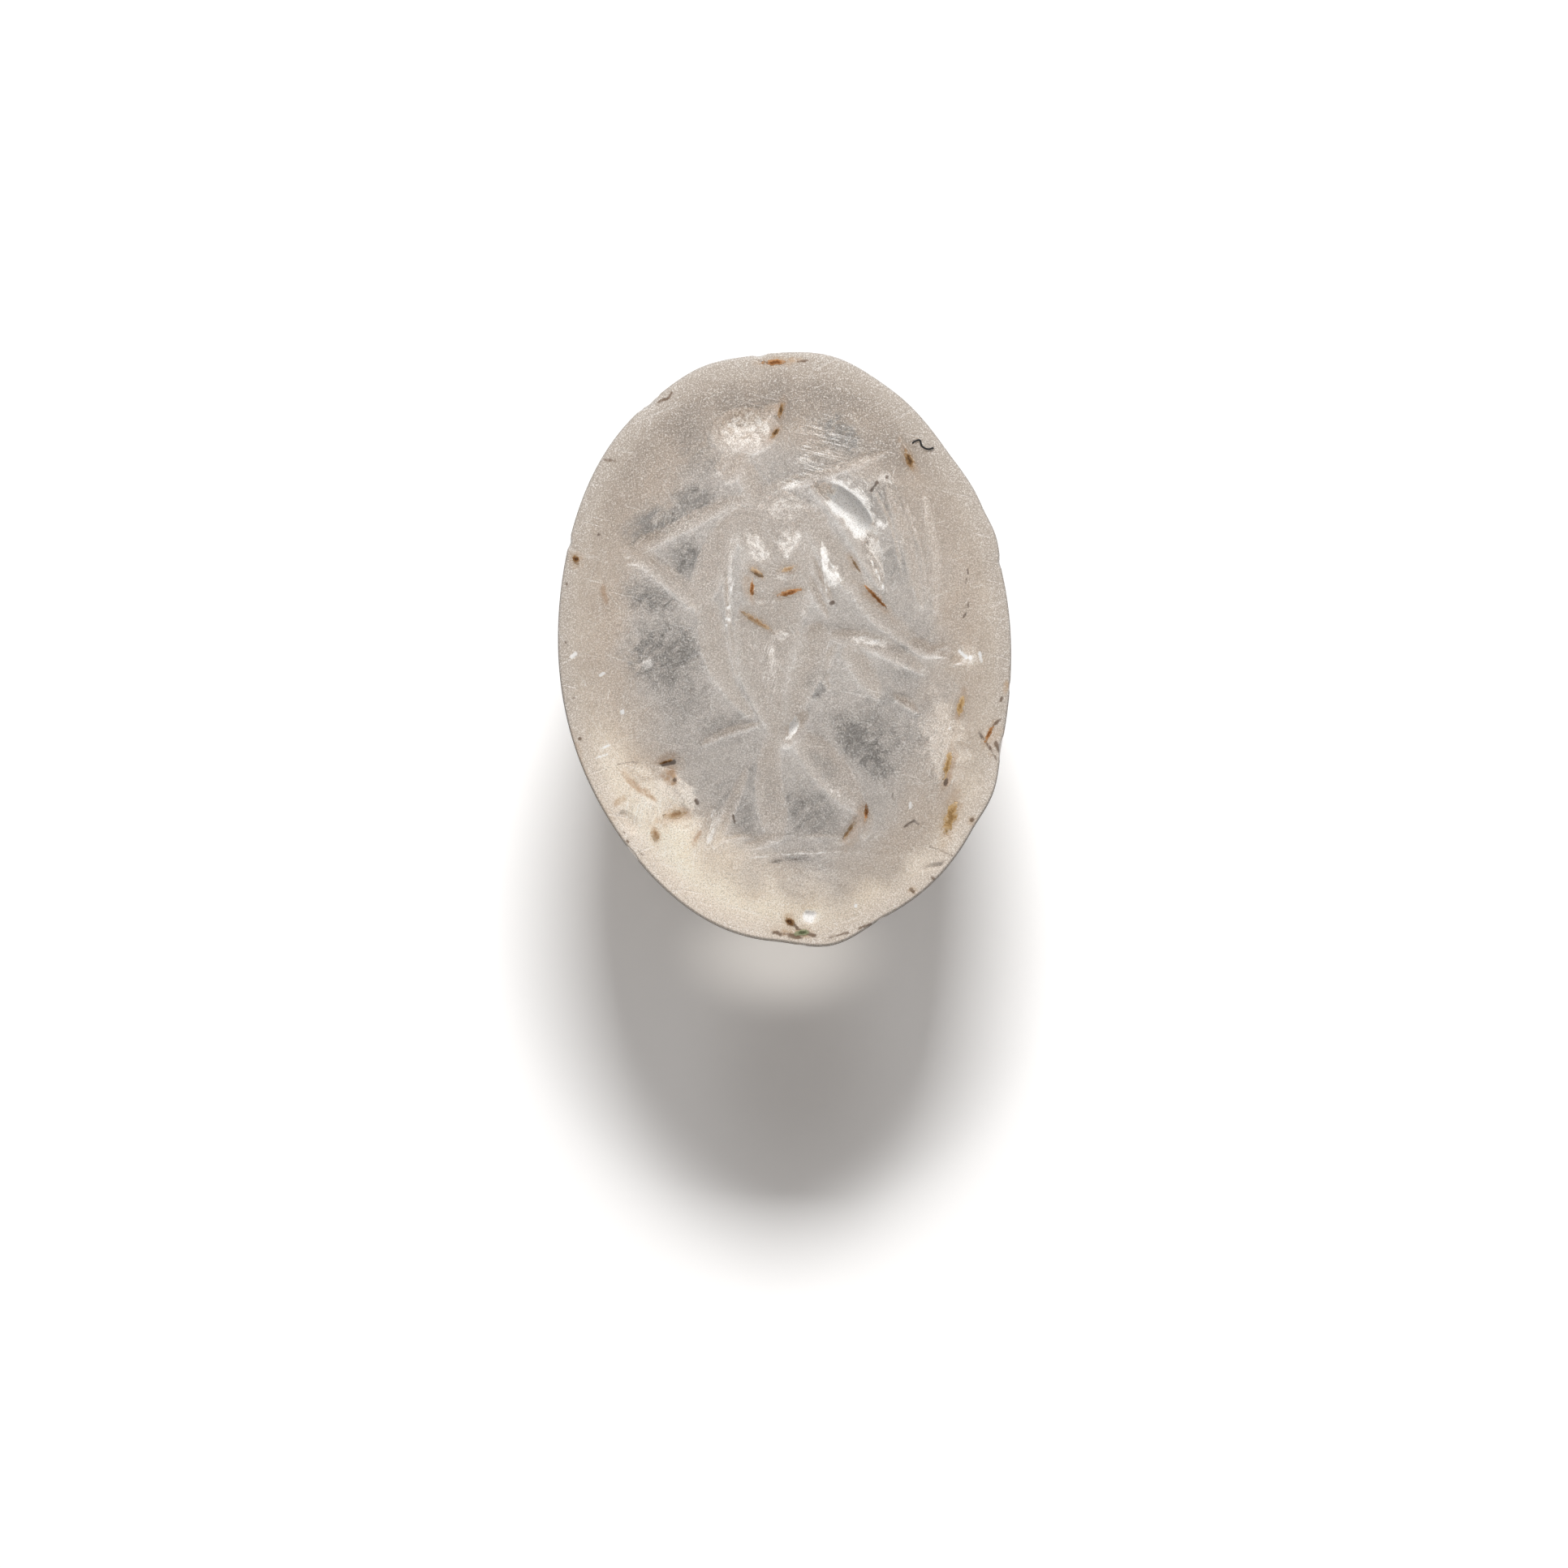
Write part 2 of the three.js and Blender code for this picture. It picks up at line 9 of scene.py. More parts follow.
import bpy
import numpy as np
from mathutils.bvhtree import BVHTree
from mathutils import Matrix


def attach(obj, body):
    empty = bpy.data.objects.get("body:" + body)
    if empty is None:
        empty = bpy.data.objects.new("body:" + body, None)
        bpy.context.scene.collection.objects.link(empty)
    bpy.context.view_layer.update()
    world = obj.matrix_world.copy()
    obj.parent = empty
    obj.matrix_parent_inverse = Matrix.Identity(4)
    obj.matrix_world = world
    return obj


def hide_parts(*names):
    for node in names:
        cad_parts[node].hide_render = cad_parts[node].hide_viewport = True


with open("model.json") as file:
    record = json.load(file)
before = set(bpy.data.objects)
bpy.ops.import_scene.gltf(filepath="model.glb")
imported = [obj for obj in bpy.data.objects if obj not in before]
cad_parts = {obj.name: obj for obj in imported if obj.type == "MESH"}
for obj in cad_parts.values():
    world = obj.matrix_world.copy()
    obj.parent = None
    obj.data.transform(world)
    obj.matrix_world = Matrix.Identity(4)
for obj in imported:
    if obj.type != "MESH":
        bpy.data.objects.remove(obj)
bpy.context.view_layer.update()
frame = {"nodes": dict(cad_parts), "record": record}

MM = 0.001

# The stone, as in the part's source, with a crisper edge round the face.
STONE_LENGTH = 16.0
STONE_WIDTH = 12.24
STONE_LEAN = 5.7
WALL_INSET = 1.85
WALL_BULGE = 0.16
BACK_EDGE_RADIUS = 0.2
GIRDLE_HEIGHT = 4.2
GIRDLE_BAND = 0.38
FACE_EDGE_RADIUS = 0.16
DOME_RISE = 0.48
FACE_EDGE_HEIGHT = GIRDLE_HEIGHT + GIRDLE_BAND + FACE_EDGE_RADIUS
GRINDING_WAVES = ((2, 0.003, 68), (3, 0.0025, 150), (4, 0.004, -147), (6, 0.0055, 59))
FIGURE_HEIGHT = 12.0
ENGRAVING_DEPTH = 0.4

# Low swells along the edge between its flakes: place and half length in degrees, and height.
EDGE_SWELLS = (
    (17, 7, 0.13), (26, 12, 0.095), (50, 14, 0.04), (70, 15, 0.08), (104, 15, 0.11),
    (-85.5, 15, 0.24), (-33, 10, 0.15),
)

# Each stroke of the wheel, in thousandths: x, y and half width as shares of the figure's
# height, and depth as a share of the deepest.
BODY_STROKES = (
    ((-142, 473, 33, 500), (-96, 484, 56, 950), (-36, 489, 36, 500)),
    ((-58, 518, 11, 300), (-35, 531, 15, 400), (-15, 542, 9, 250)),
    ((-122, 444, 15, 400), (-135, 425, 11, 350), (-140, 407, 7, 250)),
    ((-131, 420, 7, 300), (-149, 402, 9, 350), (-138, 393, 5, 250)),
    ((-95, 433, 24, 500), (-113, 400, 22, 500), (-131, 375, 15, 350)),
    ((-91, 411, 22, 400), (-73, 356, 25, 500), (-44, 291, 29, 450)),
    ((-135, 269, 36, 450), (-25, 287, 56, 550), (84, 273, 40, 450)),
    ((-20, 302, 84, 550), (-16, 200, 89, 620), (-15, 69, 73, 500)),
    ((-65, 280, 31, 650), (-71, 240, 35, 820), (-47, 193, 24, 600)),
    ((18, 276, 33, 650), (9, 236, 35, 820), (-15, 189, 24, 600)),
    ((-15, 160, 65, 500), (-22, 45, 62, 800), (-33, -45, 49, 800), (-25, -113, 27, 550)),
    ((-36, -47, 27, 700), (-22, -109, 22, 650), (-4, -167, 13, 500)),
    ((-116, 291, 29, 450), (-156, 200, 40, 520), (-193, 105, 31, 450)),
    ((-171, 80, 24, 350), (-244, 142, 25, 350), (-305, 185, 20, 300)),
    ((-287, 178, 18, 400), (-320, 200, 20, 420), (-345, 222, 11, 300)),
    ((40, 295, 29, 450), (102, 218, 33, 520), (164, 131, 29, 500)),
    ((142, 164, 27, 380), (222, 65, 27, 360), (298, 4, 18, 300)),
    ((280, 15, 18, 420), (316, -7, 18, 420), (349, -11, 9, 300)),
    ((-313, 229, 18, 250), (-225, 276, 20, 300), (-156, 309, 18, 280), (-11, 360, 15, 250),
     (135, 405, 14, 220), (247, 444, 9, 150)),
    ((-327, 222, 18, 350), (-302, 238, 22, 420), (-273, 253, 15, 350)),
    ((58, 364, 16, 600), (120, 327, 31, 920), (164, 273, 35, 950), (193, 200, 24, 700),
     (218, 127, 9, 400)),
    ((229, 364, 13, 250), (273, 236, 16, 300), (309, 80, 9, 250)),
    ((309, 353, 11, 200), (338, 207, 13, 220), (335, 58, 7, 200)),
    ((-178, 109, 29, 400), (-156, 0, 31, 420), (-127, -91, 20, 360), (-65, -167, 9, 300)),
    ((-76, 80, 44, 550), (-62, -47, 45, 620), (-22, -182, 25, 520)),
    ((-29, -160, 22, 500), (-16, -191, 25, 520), (-25, -225, 20, 450)),
    ((-29, -196, 18, 420), (-36, -302, 33, 480), (-22, -411, 38, 450)),
    ((-7, -418, 16, 350), (-40, -433, 16, 340), (-80, -449, 9, 250)),
    ((73, 40, 35, 500), (47, -58, 38, 580), (7, -167, 20, 500)),
    ((44, -149, 15, 600), (22, -182, 20, 880), (0, -222, 13, 600)),
    ((18, -185, 22, 400), (98, -273, 44, 450), (178, -375, 18, 350)),
    ((164, -349, 13, 400), (185, -389, 16, 420), (178, -429, 11, 350)),
    ((164, -385, 9, 300), (144, -418, 13, 350), (122, -442, 7, 250)),
    ((95, 29, 16, 300), (207, 4, 24, 380), (320, -58, 15, 300)),
    ((135, 0, 18, 300), (178, -58, 27, 380), (211, -116, 13, 250)),
    ((113, 4, 11, 300), (87, -47, 15, 320), (98, -98, 7, 250)),
    ((244, -109, 7, 300), (271, -127, 11, 420), (302, -149, 5, 300)),
    ((-196, -225, 7, 200), (-127, -191, 11, 300), (-51, -171, 7, 250)),
    ((-84, -269, 9, 250), (-124, -364, 16, 340), (-162, -455, 9, 250)),
    ((-178, -473, 6, 60), (-15, -464, 6, 100), (175, -462, 6, 100), (396, -476, 4, 50)),
)

# Finer strokes that finish the figure, in the same terms: face, fingers, toes and folds.
FINE_STROKES = (
    ((-118, 421, 5, 480), (-126, 418, 6, 550), (-133, 417, 4, 450)),
    ((-122, 392, 4, 450), (-132, 390, 5, 500), (-140, 387, 3, 300)),
    ((-120, 384, 4, 420), (-129, 381, 5, 460), (-136, 379, 3, 300)),
    ((-335, 213, 6, 350), (-350, 219, 6, 350), (-362, 222, 4, 200)),
    ((-331, 202, 6, 350), (-348, 206, 6, 350), (-361, 205, 4, 200)),
    ((-325, 190, 6, 350), (-342, 192, 6, 350), (-354, 188, 4, 200)),
    ((330, -4, 6, 350), (350, 0, 6, 350), (365, 2, 3, 200)),
    ((332, -15, 6, 350), (352, -18, 6, 350), (366, -22, 3, 200)),
    ((-60, -437, 4, 400), (-78, -443, 5, 300), (-94, -449, 3, 150)),
    ((-56, -447, 4, 400), (-74, -453, 5, 300), (-90, -459, 3, 150)),
    ((-138, 222, 5, 400), (-132, 120, 6, 450), (-118, 0, 6, 400), (-104, -90, 3, 200)),
    ((-198, 85, 5, 300), (-182, -10, 6, 350), (-150, -95, 4, 200)),
    ((-158, 75, 5, 500), (-141, -10, 5, 500), (-113, -100, 3, 300)),
    ((238, 345, 4, 300), (285, 220, 5, 350), (310, 90, 3, 200)),
    ((260, 352, 4, 200), (305, 220, 4, 250), (322, 80, 3, 200)),
    ((200, 360, 4, 300), (245, 250, 4, 300), (265, 150, 3, 200)),
    ((120, 20, 4, 420), (215, -8, 5, 460), (300, -55, 3, 300)),
    ((150, -20, 4, 420), (188, -70, 5, 420), (205, -110, 3, 250)),
    ((50, 170, 8, 400), (70, 120, 12, 550), (100, 60, 5, 300)),
    ((60, 205, 6, 500), (82, 150, 9, 600), (110, 90, 4, 300)),
    ((-50, 235, 4, 800), (-54, 200, 4, 820), (-40, 170, 3, 600)),
    ((-88, 168, 6, 620), (-40, 156, 7, 680), (52, 168, 5, 620)),
    ((-82, 118, 6, 600), (-30, 106, 7, 660), (50, 118, 5, 600)),
    ((-16, 60, 9, 860), (-20, 50, 10, 950), (-24, 40, 8, 860)),
    ((85, -235, 6, 400), (115, -270, 8, 480), (150, -325, 4, 360)),
    ((-45, -240, 5, 500), (-50, -300, 6, 550), (-45, -370, 4, 400)),
    ((300, -500, 4, 100), (360, -492, 6, 200), (420, -510, 3, 100)),
    ((-175, -440, 4, 150), (-100, -425, 5, 220), (-50, -430, 3, 150)),
    ((20, -430, 4, 150), (90, -425, 5, 220), (160, -435, 3, 150)),
)

# Where the wheel left fine close lines, behind the head and in the cloak's folds: the turn of
# the lines in degrees, then x, y, half length, half width, turn and strength of each patch.
HATCHES = (
    ("combed", -14, (
        (1.2, 5.9, 0.75, 0.42, 5, 0.7), (0.95, 5.2, 0.7, 0.45, 10, 0.85),
        (1.7, 5.5, 0.6, 0.5, 0, 0.45), (0.5, 4.6, 0.8, 0.16, 22, 1.0),
    )),
    ("folded", -52, (
        (1.9, 4.05, 0.75, 0.32, -48, 0.8), (1.45, 3.8, 0.8, 0.3, -42, 0.7),
        (2.1, 3.1, 0.55, 0.26, -58, 0.8), (1.2, 2.1, 0.6, 0.2, 105, 0.5),
        (2.45, 2.3, 0.6, 0.3, -60, 0.4), (2.2, 4.5, 0.5, 0.25, -20, 0.4),
    )),
    ("brushed", 74, (
        (-2.1, -5.0, 0.8, 0.25, 65, 0.6), (-1.43, 1.75, 1.3, 0.08, 90, 0.9),
        (-0.4, -0.6, 0.9, 0.25, 95, 0.5), (-3.6, -4.6, 0.8, 0.9, 0, 0.5),
        (-3.2, 3.3, 0.7, 0.5, 20, 0.3), (4.2, -3.3, 0.5, 1.2, 0, 0.4),
        (-4.6, -1.6, 0.9, 0.6, -30, 0.35),
    )),
)

# Flakes off the edge: place round the oval in degrees, then length, bite and half height.
CHIPS = (
    (-23, 1.5, 0.06, 0.75), (-12, 0.5, 0.04, 0.5), (12, 0.45, 0.08, 0.6), (89, 0.5, 0.1, 0.6),
    (120.5, 1.5, 0.1, 0.8), (155, 0.45, 0.1, 0.6), (-141, 1.2, 0.05, 0.7), (-94, 0.9, 0.02, 0.8),
    (-72, 0.4, 0.05, 0.5),
)

# Shell-like scars on the face: x, y, half length, half width, depth and turn in degrees.
SCARS = (
    (-3.17, -3.28, 0.62, 0.38, 0.08, 20), (-2.99, -4.57, 0.7, 0.42, 0.09, -35),
    (-3.71, -3.91, 0.48, 0.32, 0.07, -60), (0.66, -7.25, 0.34, 0.28, 0.1, 0),
    (-4.25, -4.75, 0.5, 0.3, 0.1, -50), (4.72, -0.35, 0.3, 0.16, 0.08, 10),
)

# Where the crystal is clear, painted dark for the shade seen through it, and where it is
# clouded by veils and bruises: x, y, half length, half width, turn in degrees and strength.
CLEAR_PATCHES = (
    (-3.19, -0.17, 1.01, 0.87, 10, 1.15), (-3.6, 1.31, 0.75, 0.42, -20, 1.0),
    (-2.67, 2.43, 0.42, 0.5, -20, 1.15), (-3.6, 3.3, 0.85, 0.42, 20, 1.05),
    (-2.5, 3.95, 0.6, 0.4, 20, 0.95), (-2.19, 5.25, 0.74, 0.74, 30, 0.4),
    (1.5, 5.7, 0.6, 0.42, -40, 1.4), (2.67, 3.89, 0.48, 0.48, -30, 0.6),
    (3.06, 2.4, 0.52, 0.74, -20, 0.55), (3.1, -0.07, 0.35, 0.15, -15, 0.9),
    (3.19, -0.7, 0.57, 0.31, -10, 0.5), (2.1, -2.7, 1.0, 0.42, -48, 1.9),
    (2.5, -2.3, 0.9, 0.6, -40, 0.6), (2.75, -1.57, 0.61, 0.48, 0, 0.55),
    (-1.49, -2.19, 0.87, 0.44, 15, 0.5), (-1.33, -4.37, 0.57, 0.74, 20, 0.6),
    (0.62, -4.43, 0.85, 0.65, -30, 0.8), (-0.85, -3.53, 0.38, 0.2, 85, 0.9),
    (-1.07, -4.5, 0.6, 0.28, 90, 0.7), (-0.28, -5.78, 0.2, 0.06, 0, 1.0),
    (0.33, -5.72, 0.4, 0.1, 0, 0.9), (-1.75, -6.43, 0.48, 0.52, 0, 0.5),
    (0.74, -6.56, 1.53, 0.48, 0, 0.15), (0.85, -0.9, 0.5, 0.3, 75, 1.8),
    (1.05, -3.25, 0.6, 0.26, -45, 1.8), (-0.35, -3.9, 0.55, 0.2, 92, 1.0),
    (-2.75, -1.31, 0.66, 0.74, 0, 0.45), (3.58, -2.3, 0.61, 0.74, 0, 0.35),
    (-1.01, -0.98, 0.31, 1.31, 5, 0.3), (-2.29, 0.69, 0.14, 0.12, 0, 0.9),
)
VEILS = (
    (-3.3, -4.37, 0.92, 1.09, 30, 1.0), (-3.85, -5.25, 0.87, 0.52, -40, 0.9),
    (4.24, -2.51, 0.66, 1.31, 10, 0.6), (5.01, -0.33, 0.52, 0.35, 0, 0.45),
    (3.0, 4.3, 0.5, 0.26, -10, 0.2), (0.66, -7.3, 0.26, 0.28, 0, 1.0),
    (0.7, -6.35, 1.4, 0.4, 0, 0.45), (4.02, -5.68, 1.31, 0.66, 25, 0.4),
    (-1.44, -5.46, 0.87, 0.66, 0, 0.25), (-4.5, -3.28, 0.57, 1.31, 20, 0.4),
    (5.73, -2.51, 0.35, 0.57, 15, 0.6),
)

# Where cuts catch the light, painted as highlights, and white bruises: places as above.
SHEENS = (
    (0.15, 4.35, 0.35, 0.1, 18, 0.6), (1.6, 3.7, 0.95, 0.18, -47, 1.0),
    (1.85, 3.7, 0.95, 0.5, -50, 1.0), (2.4, 2.75, 0.5, 0.2, -60, 0.5),
    (1.08, 2.3, 0.45, 0.12, 98, 0.7), (1.25, 1.88, 0.34, 0.24, 100, 0.6),
    (-1.5, 1.4, 1.3, 0.1, 90, 0.35), (-0.33, -0.48, 0.83, 0.14, 95, 0.4),
    (0.2, -2.21, 0.35, 0.13, 72, 1.0), (0.44, -0.37, 0.39, 0.09, 50, 0.3),
    (-3.72, -0.5, 0.2, 0.14, 30, 0.45), (-1.05, 5.86, 0.8, 0.56, 5, 0.5),
    (0.05, 3.75, 0.85, 0.42, 8, 0.4), (-0.8, 2.7, 0.6, 0.3, 118, 0.45),
    (0.12, 2.85, 0.6, 0.34, 62, 0.45), (2.45, 2.25, 0.57, 0.24, 120, 0.3),
    (1.45, -3.95, 0.6, 0.1, -37, 0.35), (-0.2, 0.3, 0.28, 0.14, 10, 0.45),
    (-0.5, 1.19, 0.35, 0.12, 5, 0.3), (-0.1, 1.89, 0.16, 0.1, 0, 0.35),
    (-1.88, -4.87, 0.74, 0.09, 65, 0.5), (0.66, -7.28, 0.2, 0.24, 0, 0.9),
    (5.01, -0.33, 0.35, 0.17, 15, 0.38), (0.5, -5.58, 1.2, 0.05, 4, 0.25),
    (2.25, 0.17, 0.75, 0.14, -9, 0.55), (-0.96, 0.0, 1.31, 0.07, 98, 0.3),
    (3.58, -3.61, 0.39, 0.11, -30, 0.4), (2.75, 4.5, 0.36, 0.2, -10, 0.4),
    (2.5, 4.1, 0.25, 0.18, 0, 0.3),
)

# Thin cracks and specks filled with earth: half width, then the places they run through.
CRACKS = (
    (0.0, (-4.53, -3.17), (-4.1, -3.1), (-3.88, -3.11)), (0.0, (-4.0, -3.12), (-4.07, -3.29)),
    (-0.01, (-3.88, -3.11), (-3.6, -3.15), (-3.38, -3.12)),
    (0.04, (-2.41, -4.14), (-2.36, -4.22)), (0.045, (-5.54, -2.47)), (0.035, (-5.71, -1.37)),
    (0.02, (-4.27, -5.23), (-4.24, -5.27)), (0.01, (-4.36, -5.0), (-4.33, -5.03)),
    (0.005, (-3.98, -5.5), (-3.83, -5.64)), (0.015, (5.82, -1.95), (5.74, -2.01), (5.52, -2.25)),
    (0.03, (5.72, -2.03), (5.66, -2.08)), (0.03, (5.24, -2.31), (5.33, -2.45)),
    (0.02, (5.33, -2.45), (5.52, -2.72), (5.7, -3.03)), (0.035, (5.52, -2.7), (5.55, -2.76)),
    (0.04, (5.68, -2.59), (5.79, -2.81)), (0.06, (5.05, -4.67)),
    (0.035, (5.85, -1.38), (5.83, -1.44)), (0.045, (4.33, -3.7), (4.35, -3.6)),
    (0.02, (3.24, -4.84), (3.49, -4.68), (3.6, -4.78)),
    (0.015, (3.9, -5.4), (4.12, -5.46), (4.52, -5.65)), (0.03, (2.49, 4.43), (2.47, 4.44)),
    (0.03, (2.31, 4.21), (2.36, 4.26)), (0.012, (2.31, 4.21), (2.49, 4.43)),
    (0.035, (2.75, 4.58)), (0.045, (1.24, 1.17), (1.3, 1.19)), (0.02, (1.41, -0.15)),
    (0.05, (-2.98, -3.59)), (0.02, (-3.42, 6.62), (-3.27, 6.7), (-3.15, 6.71), (-3.06, 6.88)),
    (0.025, (-3.3, 6.68), (-3.17, 6.7)), (0.04, (-4.74, 5.05)),
    (0.02, (-4.88, 5.06), (-4.6, 5.03)), (0.035, (-5.03, 3.03)), (0.035, (-5.9, 1.7)),
    (0.03, (-5.92, 0.12)), (0.012, (4.92, 2.1), (4.94, 1.98)), (0.01, (4.9, 1.85), (4.87, 1.7)),
    (0.012, (4.95, 1.2), (4.93, 1.08)), (0.01, (4.9, 0.95), (4.82, 0.8)),
    (0.03, (3.96, -6.22), (4.03, -6.27)), (0.04, (3.4, -6.55), (3.47, -6.62)),
    (0.025, (2.0, -7.6), (2.3, -7.48)), (0.02, (1.2, -7.84), (1.7, -7.72)),
    (0.03, (-0.32, -7.72), (-0.2, -7.7), (-0.12, -7.78)), (0.04, (0.62, -7.74), (0.8, -7.8)),
    (0.03, (0.1, -7.82), (0.45, -7.86)), (0.035, (0.17, -7.4), (0.33, -7.6)),
    (0.02, (0.33, -7.6), (0.75, -7.78)), (0.02, (-0.22, -7.74), (0.3, -7.76)),
    (0.06, (-3.3, -3.16), (-3.0, -3.1)), (0.012, (-0.4, -5.8), (-0.1, -5.77)),
    (0.005, (0.1, -5.75), (0.6, -5.69)), (0.01, (2.9, -3.95), (2.93, -4.12)),
    (0.02, (-1.4, -4.55), (-1.36, -4.75)), (0.02, (0.34, 7.7), (0.62, 7.74)),
    (0.02, (-0.7, 7.72), (-0.3, 7.66)),
)

# White specks and short scratches, in the same terms.
FLECKS = (
    (0.045, (-5.76, -0.26), (-5.66, -0.19)), (0.035, (-4.99, -0.76), (-4.88, -0.7)),
    (0.05, (-4.39, -1.75)), (0.01, (-4.99, -2.76), (-4.75, -2.65)),
    (0.01, (-5.1, -3.0), (-4.8, -2.9)), (0.05, (5.0, -0.3)), (0.03, (4.7, -0.1), (4.9, -0.3)),
    (0.03, (5.25, -0.15), (5.3, -0.4)), (0.025, (3.38, -4.2), (3.38, -4.35)),
    (0.0, (-2.0, -4.6), (-1.9, -4.38)), (0.01, (-1.8, -4.2)),
    (0.0, (-1.0, -5.7), (0.3, -5.58), (1.6, -5.53)), (0.03, (4.45, -2.2)), (0.04, (1.9, -7.0)),
    (0.01, (0.98, 2.66), (1.12, 1.45)), (0.01, (1.02, 2.6), (1.5, 1.78)),
    (0.0, (-1.43, 2.6), (-1.44, 2.3)), (0.0, (-1.44, 1.9), (-1.46, 1.5)),
    (0.03, (-1.55, 1.05), (-1.5, 1.08)), (0.03, (-1.6, 0.75), (-1.5, 0.72)),
    (0.025, (-1.58, 0.58)), (0.02, (-1.45, 0.9)), (0.03, (-3.6, 6.9), (-3.5, 6.95)),
    (0.01, (2.35, 2.3), (2.65, 1.6)),
)

# Soft stains of earth: x, y, half length, half width, turn in degrees and strength.
STAINS = (
    (-3.11, -3.47, 0.28, 0.2, 75, 1.0), (-2.96, -4.49, 0.46, 0.14, 8, 0.45),
    (-3.52, -4.98, 0.26, 0.09, 100, 0.6), (-2.39, -5.17, 0.2, 0.07, 60, 0.6),
    (-4.07, -3.72, 0.42, 0.09, -45, 0.7), (-3.7, -3.98, 0.25, 0.07, -42, 0.8),
    (-4.49, -4.15, 0.25, 0.08, 42, 0.6), (4.45, -3.35, 0.5, 0.1, 72, 0.6),
    (5.05, -4.72, 0.14, 0.12, 0, 0.6), (5.97, -1.07, 0.24, 0.07, 85, 0.7),
    (-4.86, 1.32, 0.3, 0.08, -78, 0.7), (0.3, -7.76, 0.34, 0.14, -8, 0.8),
    (3.43, -6.58, 0.16, 0.1, 30, 0.6), (5.62, -2.5, 0.4, 0.24, 70, 0.3),
    (0.0, 7.74, 0.55, 0.09, 2, 0.6), (-0.18, -7.62, 0.3, 0.1, 10, 0.4),
    (-5.6, -2.9, 0.8, 0.12, 110, 0.3), (-4.9, -4.4, 0.7, 0.12, 122, 0.25),
)

# How much further than its place some earth spreads: along and across.
SPREAD = {
    "earth_hip": (1.7, 1.4), "earth_rib_side": (1.4, 2.4), "earth_rib_lower": (1.5, 1.4),
    "earth_rib_upper_left": (1.5, 1.3), "earth_rib_upper_right": (1.4, 1.2),
    "earth_arm_upper": (1.7, 1.1), "earth_arm_lower": (1.4, 0.9), "earth_top_edge": (1.25, 1.2),
    "earth_side_upper": (1.1, 1.6), "earth_side_middle": (1.1, 1.5), "earth_side_lower": (1.1, 1.4),
    "earth_scar_upper": (1.2, 1.3), "earth_scar_lower": (1.0, 1.5), "earth_scar_side": (1.1, 1.6),
    "earth_foot": (1.5, 1.2), "earth_sole": (1.5, 1.2), "earth_face_right": (1.25, 1.5),
}
PLAIN_SPREAD = (1.15, 1.15)

# Earth that is only a thin film, and earth that is dark without being red.
OWN_FINISH = {
    **dict.fromkeys(("earth_hip", "earth_rib_upper_left", "earth_rib_upper_right",
                     "earth_arm_upper", "earth_sole", "earth_scar_lower", "earth_scar_side"),
                    "earth_film"),
    **dict.fromkeys(("earth_crest_upper", "earth_crest_lower", "earth_face_right"), "umber"),
}

# A stray dark fibre that lies on the face: its half width, and the places it runs through.
FIBRE_HALF_WIDTH = 0.026
FIBRE_SIDES = 8
FIBRE_STEPS = 48
FIBRE = (
    (3.434, 5.5), (3.517, 5.561), (3.639, 5.578), (3.694, 5.423), (3.858, 5.342), (4.009, 5.381),
)

# The grid over the face, the steps round its edge, down the girdle, down the wall and round
# the back's edge, and the rings under the stone as shares of its flat back.
FACE_COLUMNS = 220
FACE_ROWS = 290
EDGE_STEPS, GIRDLE_STEPS, WALL_STEPS, FOOT_STEPS = 6, 2, 10, 3
BACK_SHARES = (0.8, 0.55, 0.3, 0.1)
TINY = 1e-9

# A stroke ends bluntly, its floor is a little flatter than a ball's, and the hand wavers.
STROKE_STEPS = 26
STROKE_BLUNTNESS = 8
STROKE_FLOOR = 0.85
LEAST_HALF_WIDTH = 0.002
LEAST_FULLNESS = 0.15
WHEEL_WANDER = 0.012
DEPTH_WAVER = 0.06

# What grinding left uneven: the face's waves, and how deep the wall is pressed in, with the
# size and seed of its lumps. The girdle and the edge of the back keep their lines.
FACE_WAVES = 0.006
WALL_PRESS = ((0.035, 1.1, 15), (0.012, 0.3, 16))
WALL_REACH = 6.5
GIRDLE_KEPT = 0.1
BACK_KEPT = 0.05

# Flakes and scars: the ripples in them, and how high over a scar its ball is centred.
RIPPLES = 9
FLAKE_RIPPLE = 0.02
SCAR_RIPPLE = 0.03
SCAR_LIFT = 1.5

# Soft spots and thin lines: the lumps of a spot's edge, and how far from a line it is felt.
SPOT_LUMPS = (0.28, 0.11)
SPOT_FADE = (0.45, 1.35)
LINE_REACH = 0.12
LEAST_LINE = 0.012

# Crusts: their mesh, how flat their tops are, and how the stone sinks and is stained there.
CRUST_COLUMNS = 28
CRUST_RINGS = 16
CRUST_ROUGHNESS = 0.3
CRUST_TOP = 0.2
CRUST_NEAR = 0.5
CRUST_SINK = 0.3
SEAT_SHARE = 1.1
CRUST_STAIN = 0.35
STAIN_FADE = (0.9, 2.2)
FIRST_CRUST_SEED = 100

# How high the rays start that find the stone's surface.
ABOVE_STONE = 9.0


def ease(low, high, value):
    """0 below low, 1 above high, and smooth between."""
    share = np.clip((value - low) / (high - low), 0, 1)
    return share * share * (3 - 2 * share)


def cloud(places, size, seed, waves=14):
    """Smooth noise from about -1 to 1, with lumps of one size, the same on every run."""
    chance = np.random.default_rng(seed)
    directions = chance.normal(size=(waves, places.shape[1]))
    directions /= np.linalg.norm(directions, axis=1)[:, None]
    pitches = chance.uniform(0.6, 1.5, waves) * 2 * math.pi / (2 * size)
    phases = chance.uniform(0, 2 * math.pi, waves)
    return np.sin(places @ (directions * pitches[:, None]).T + phases).sum(1) / math.sqrt(2 * waves)


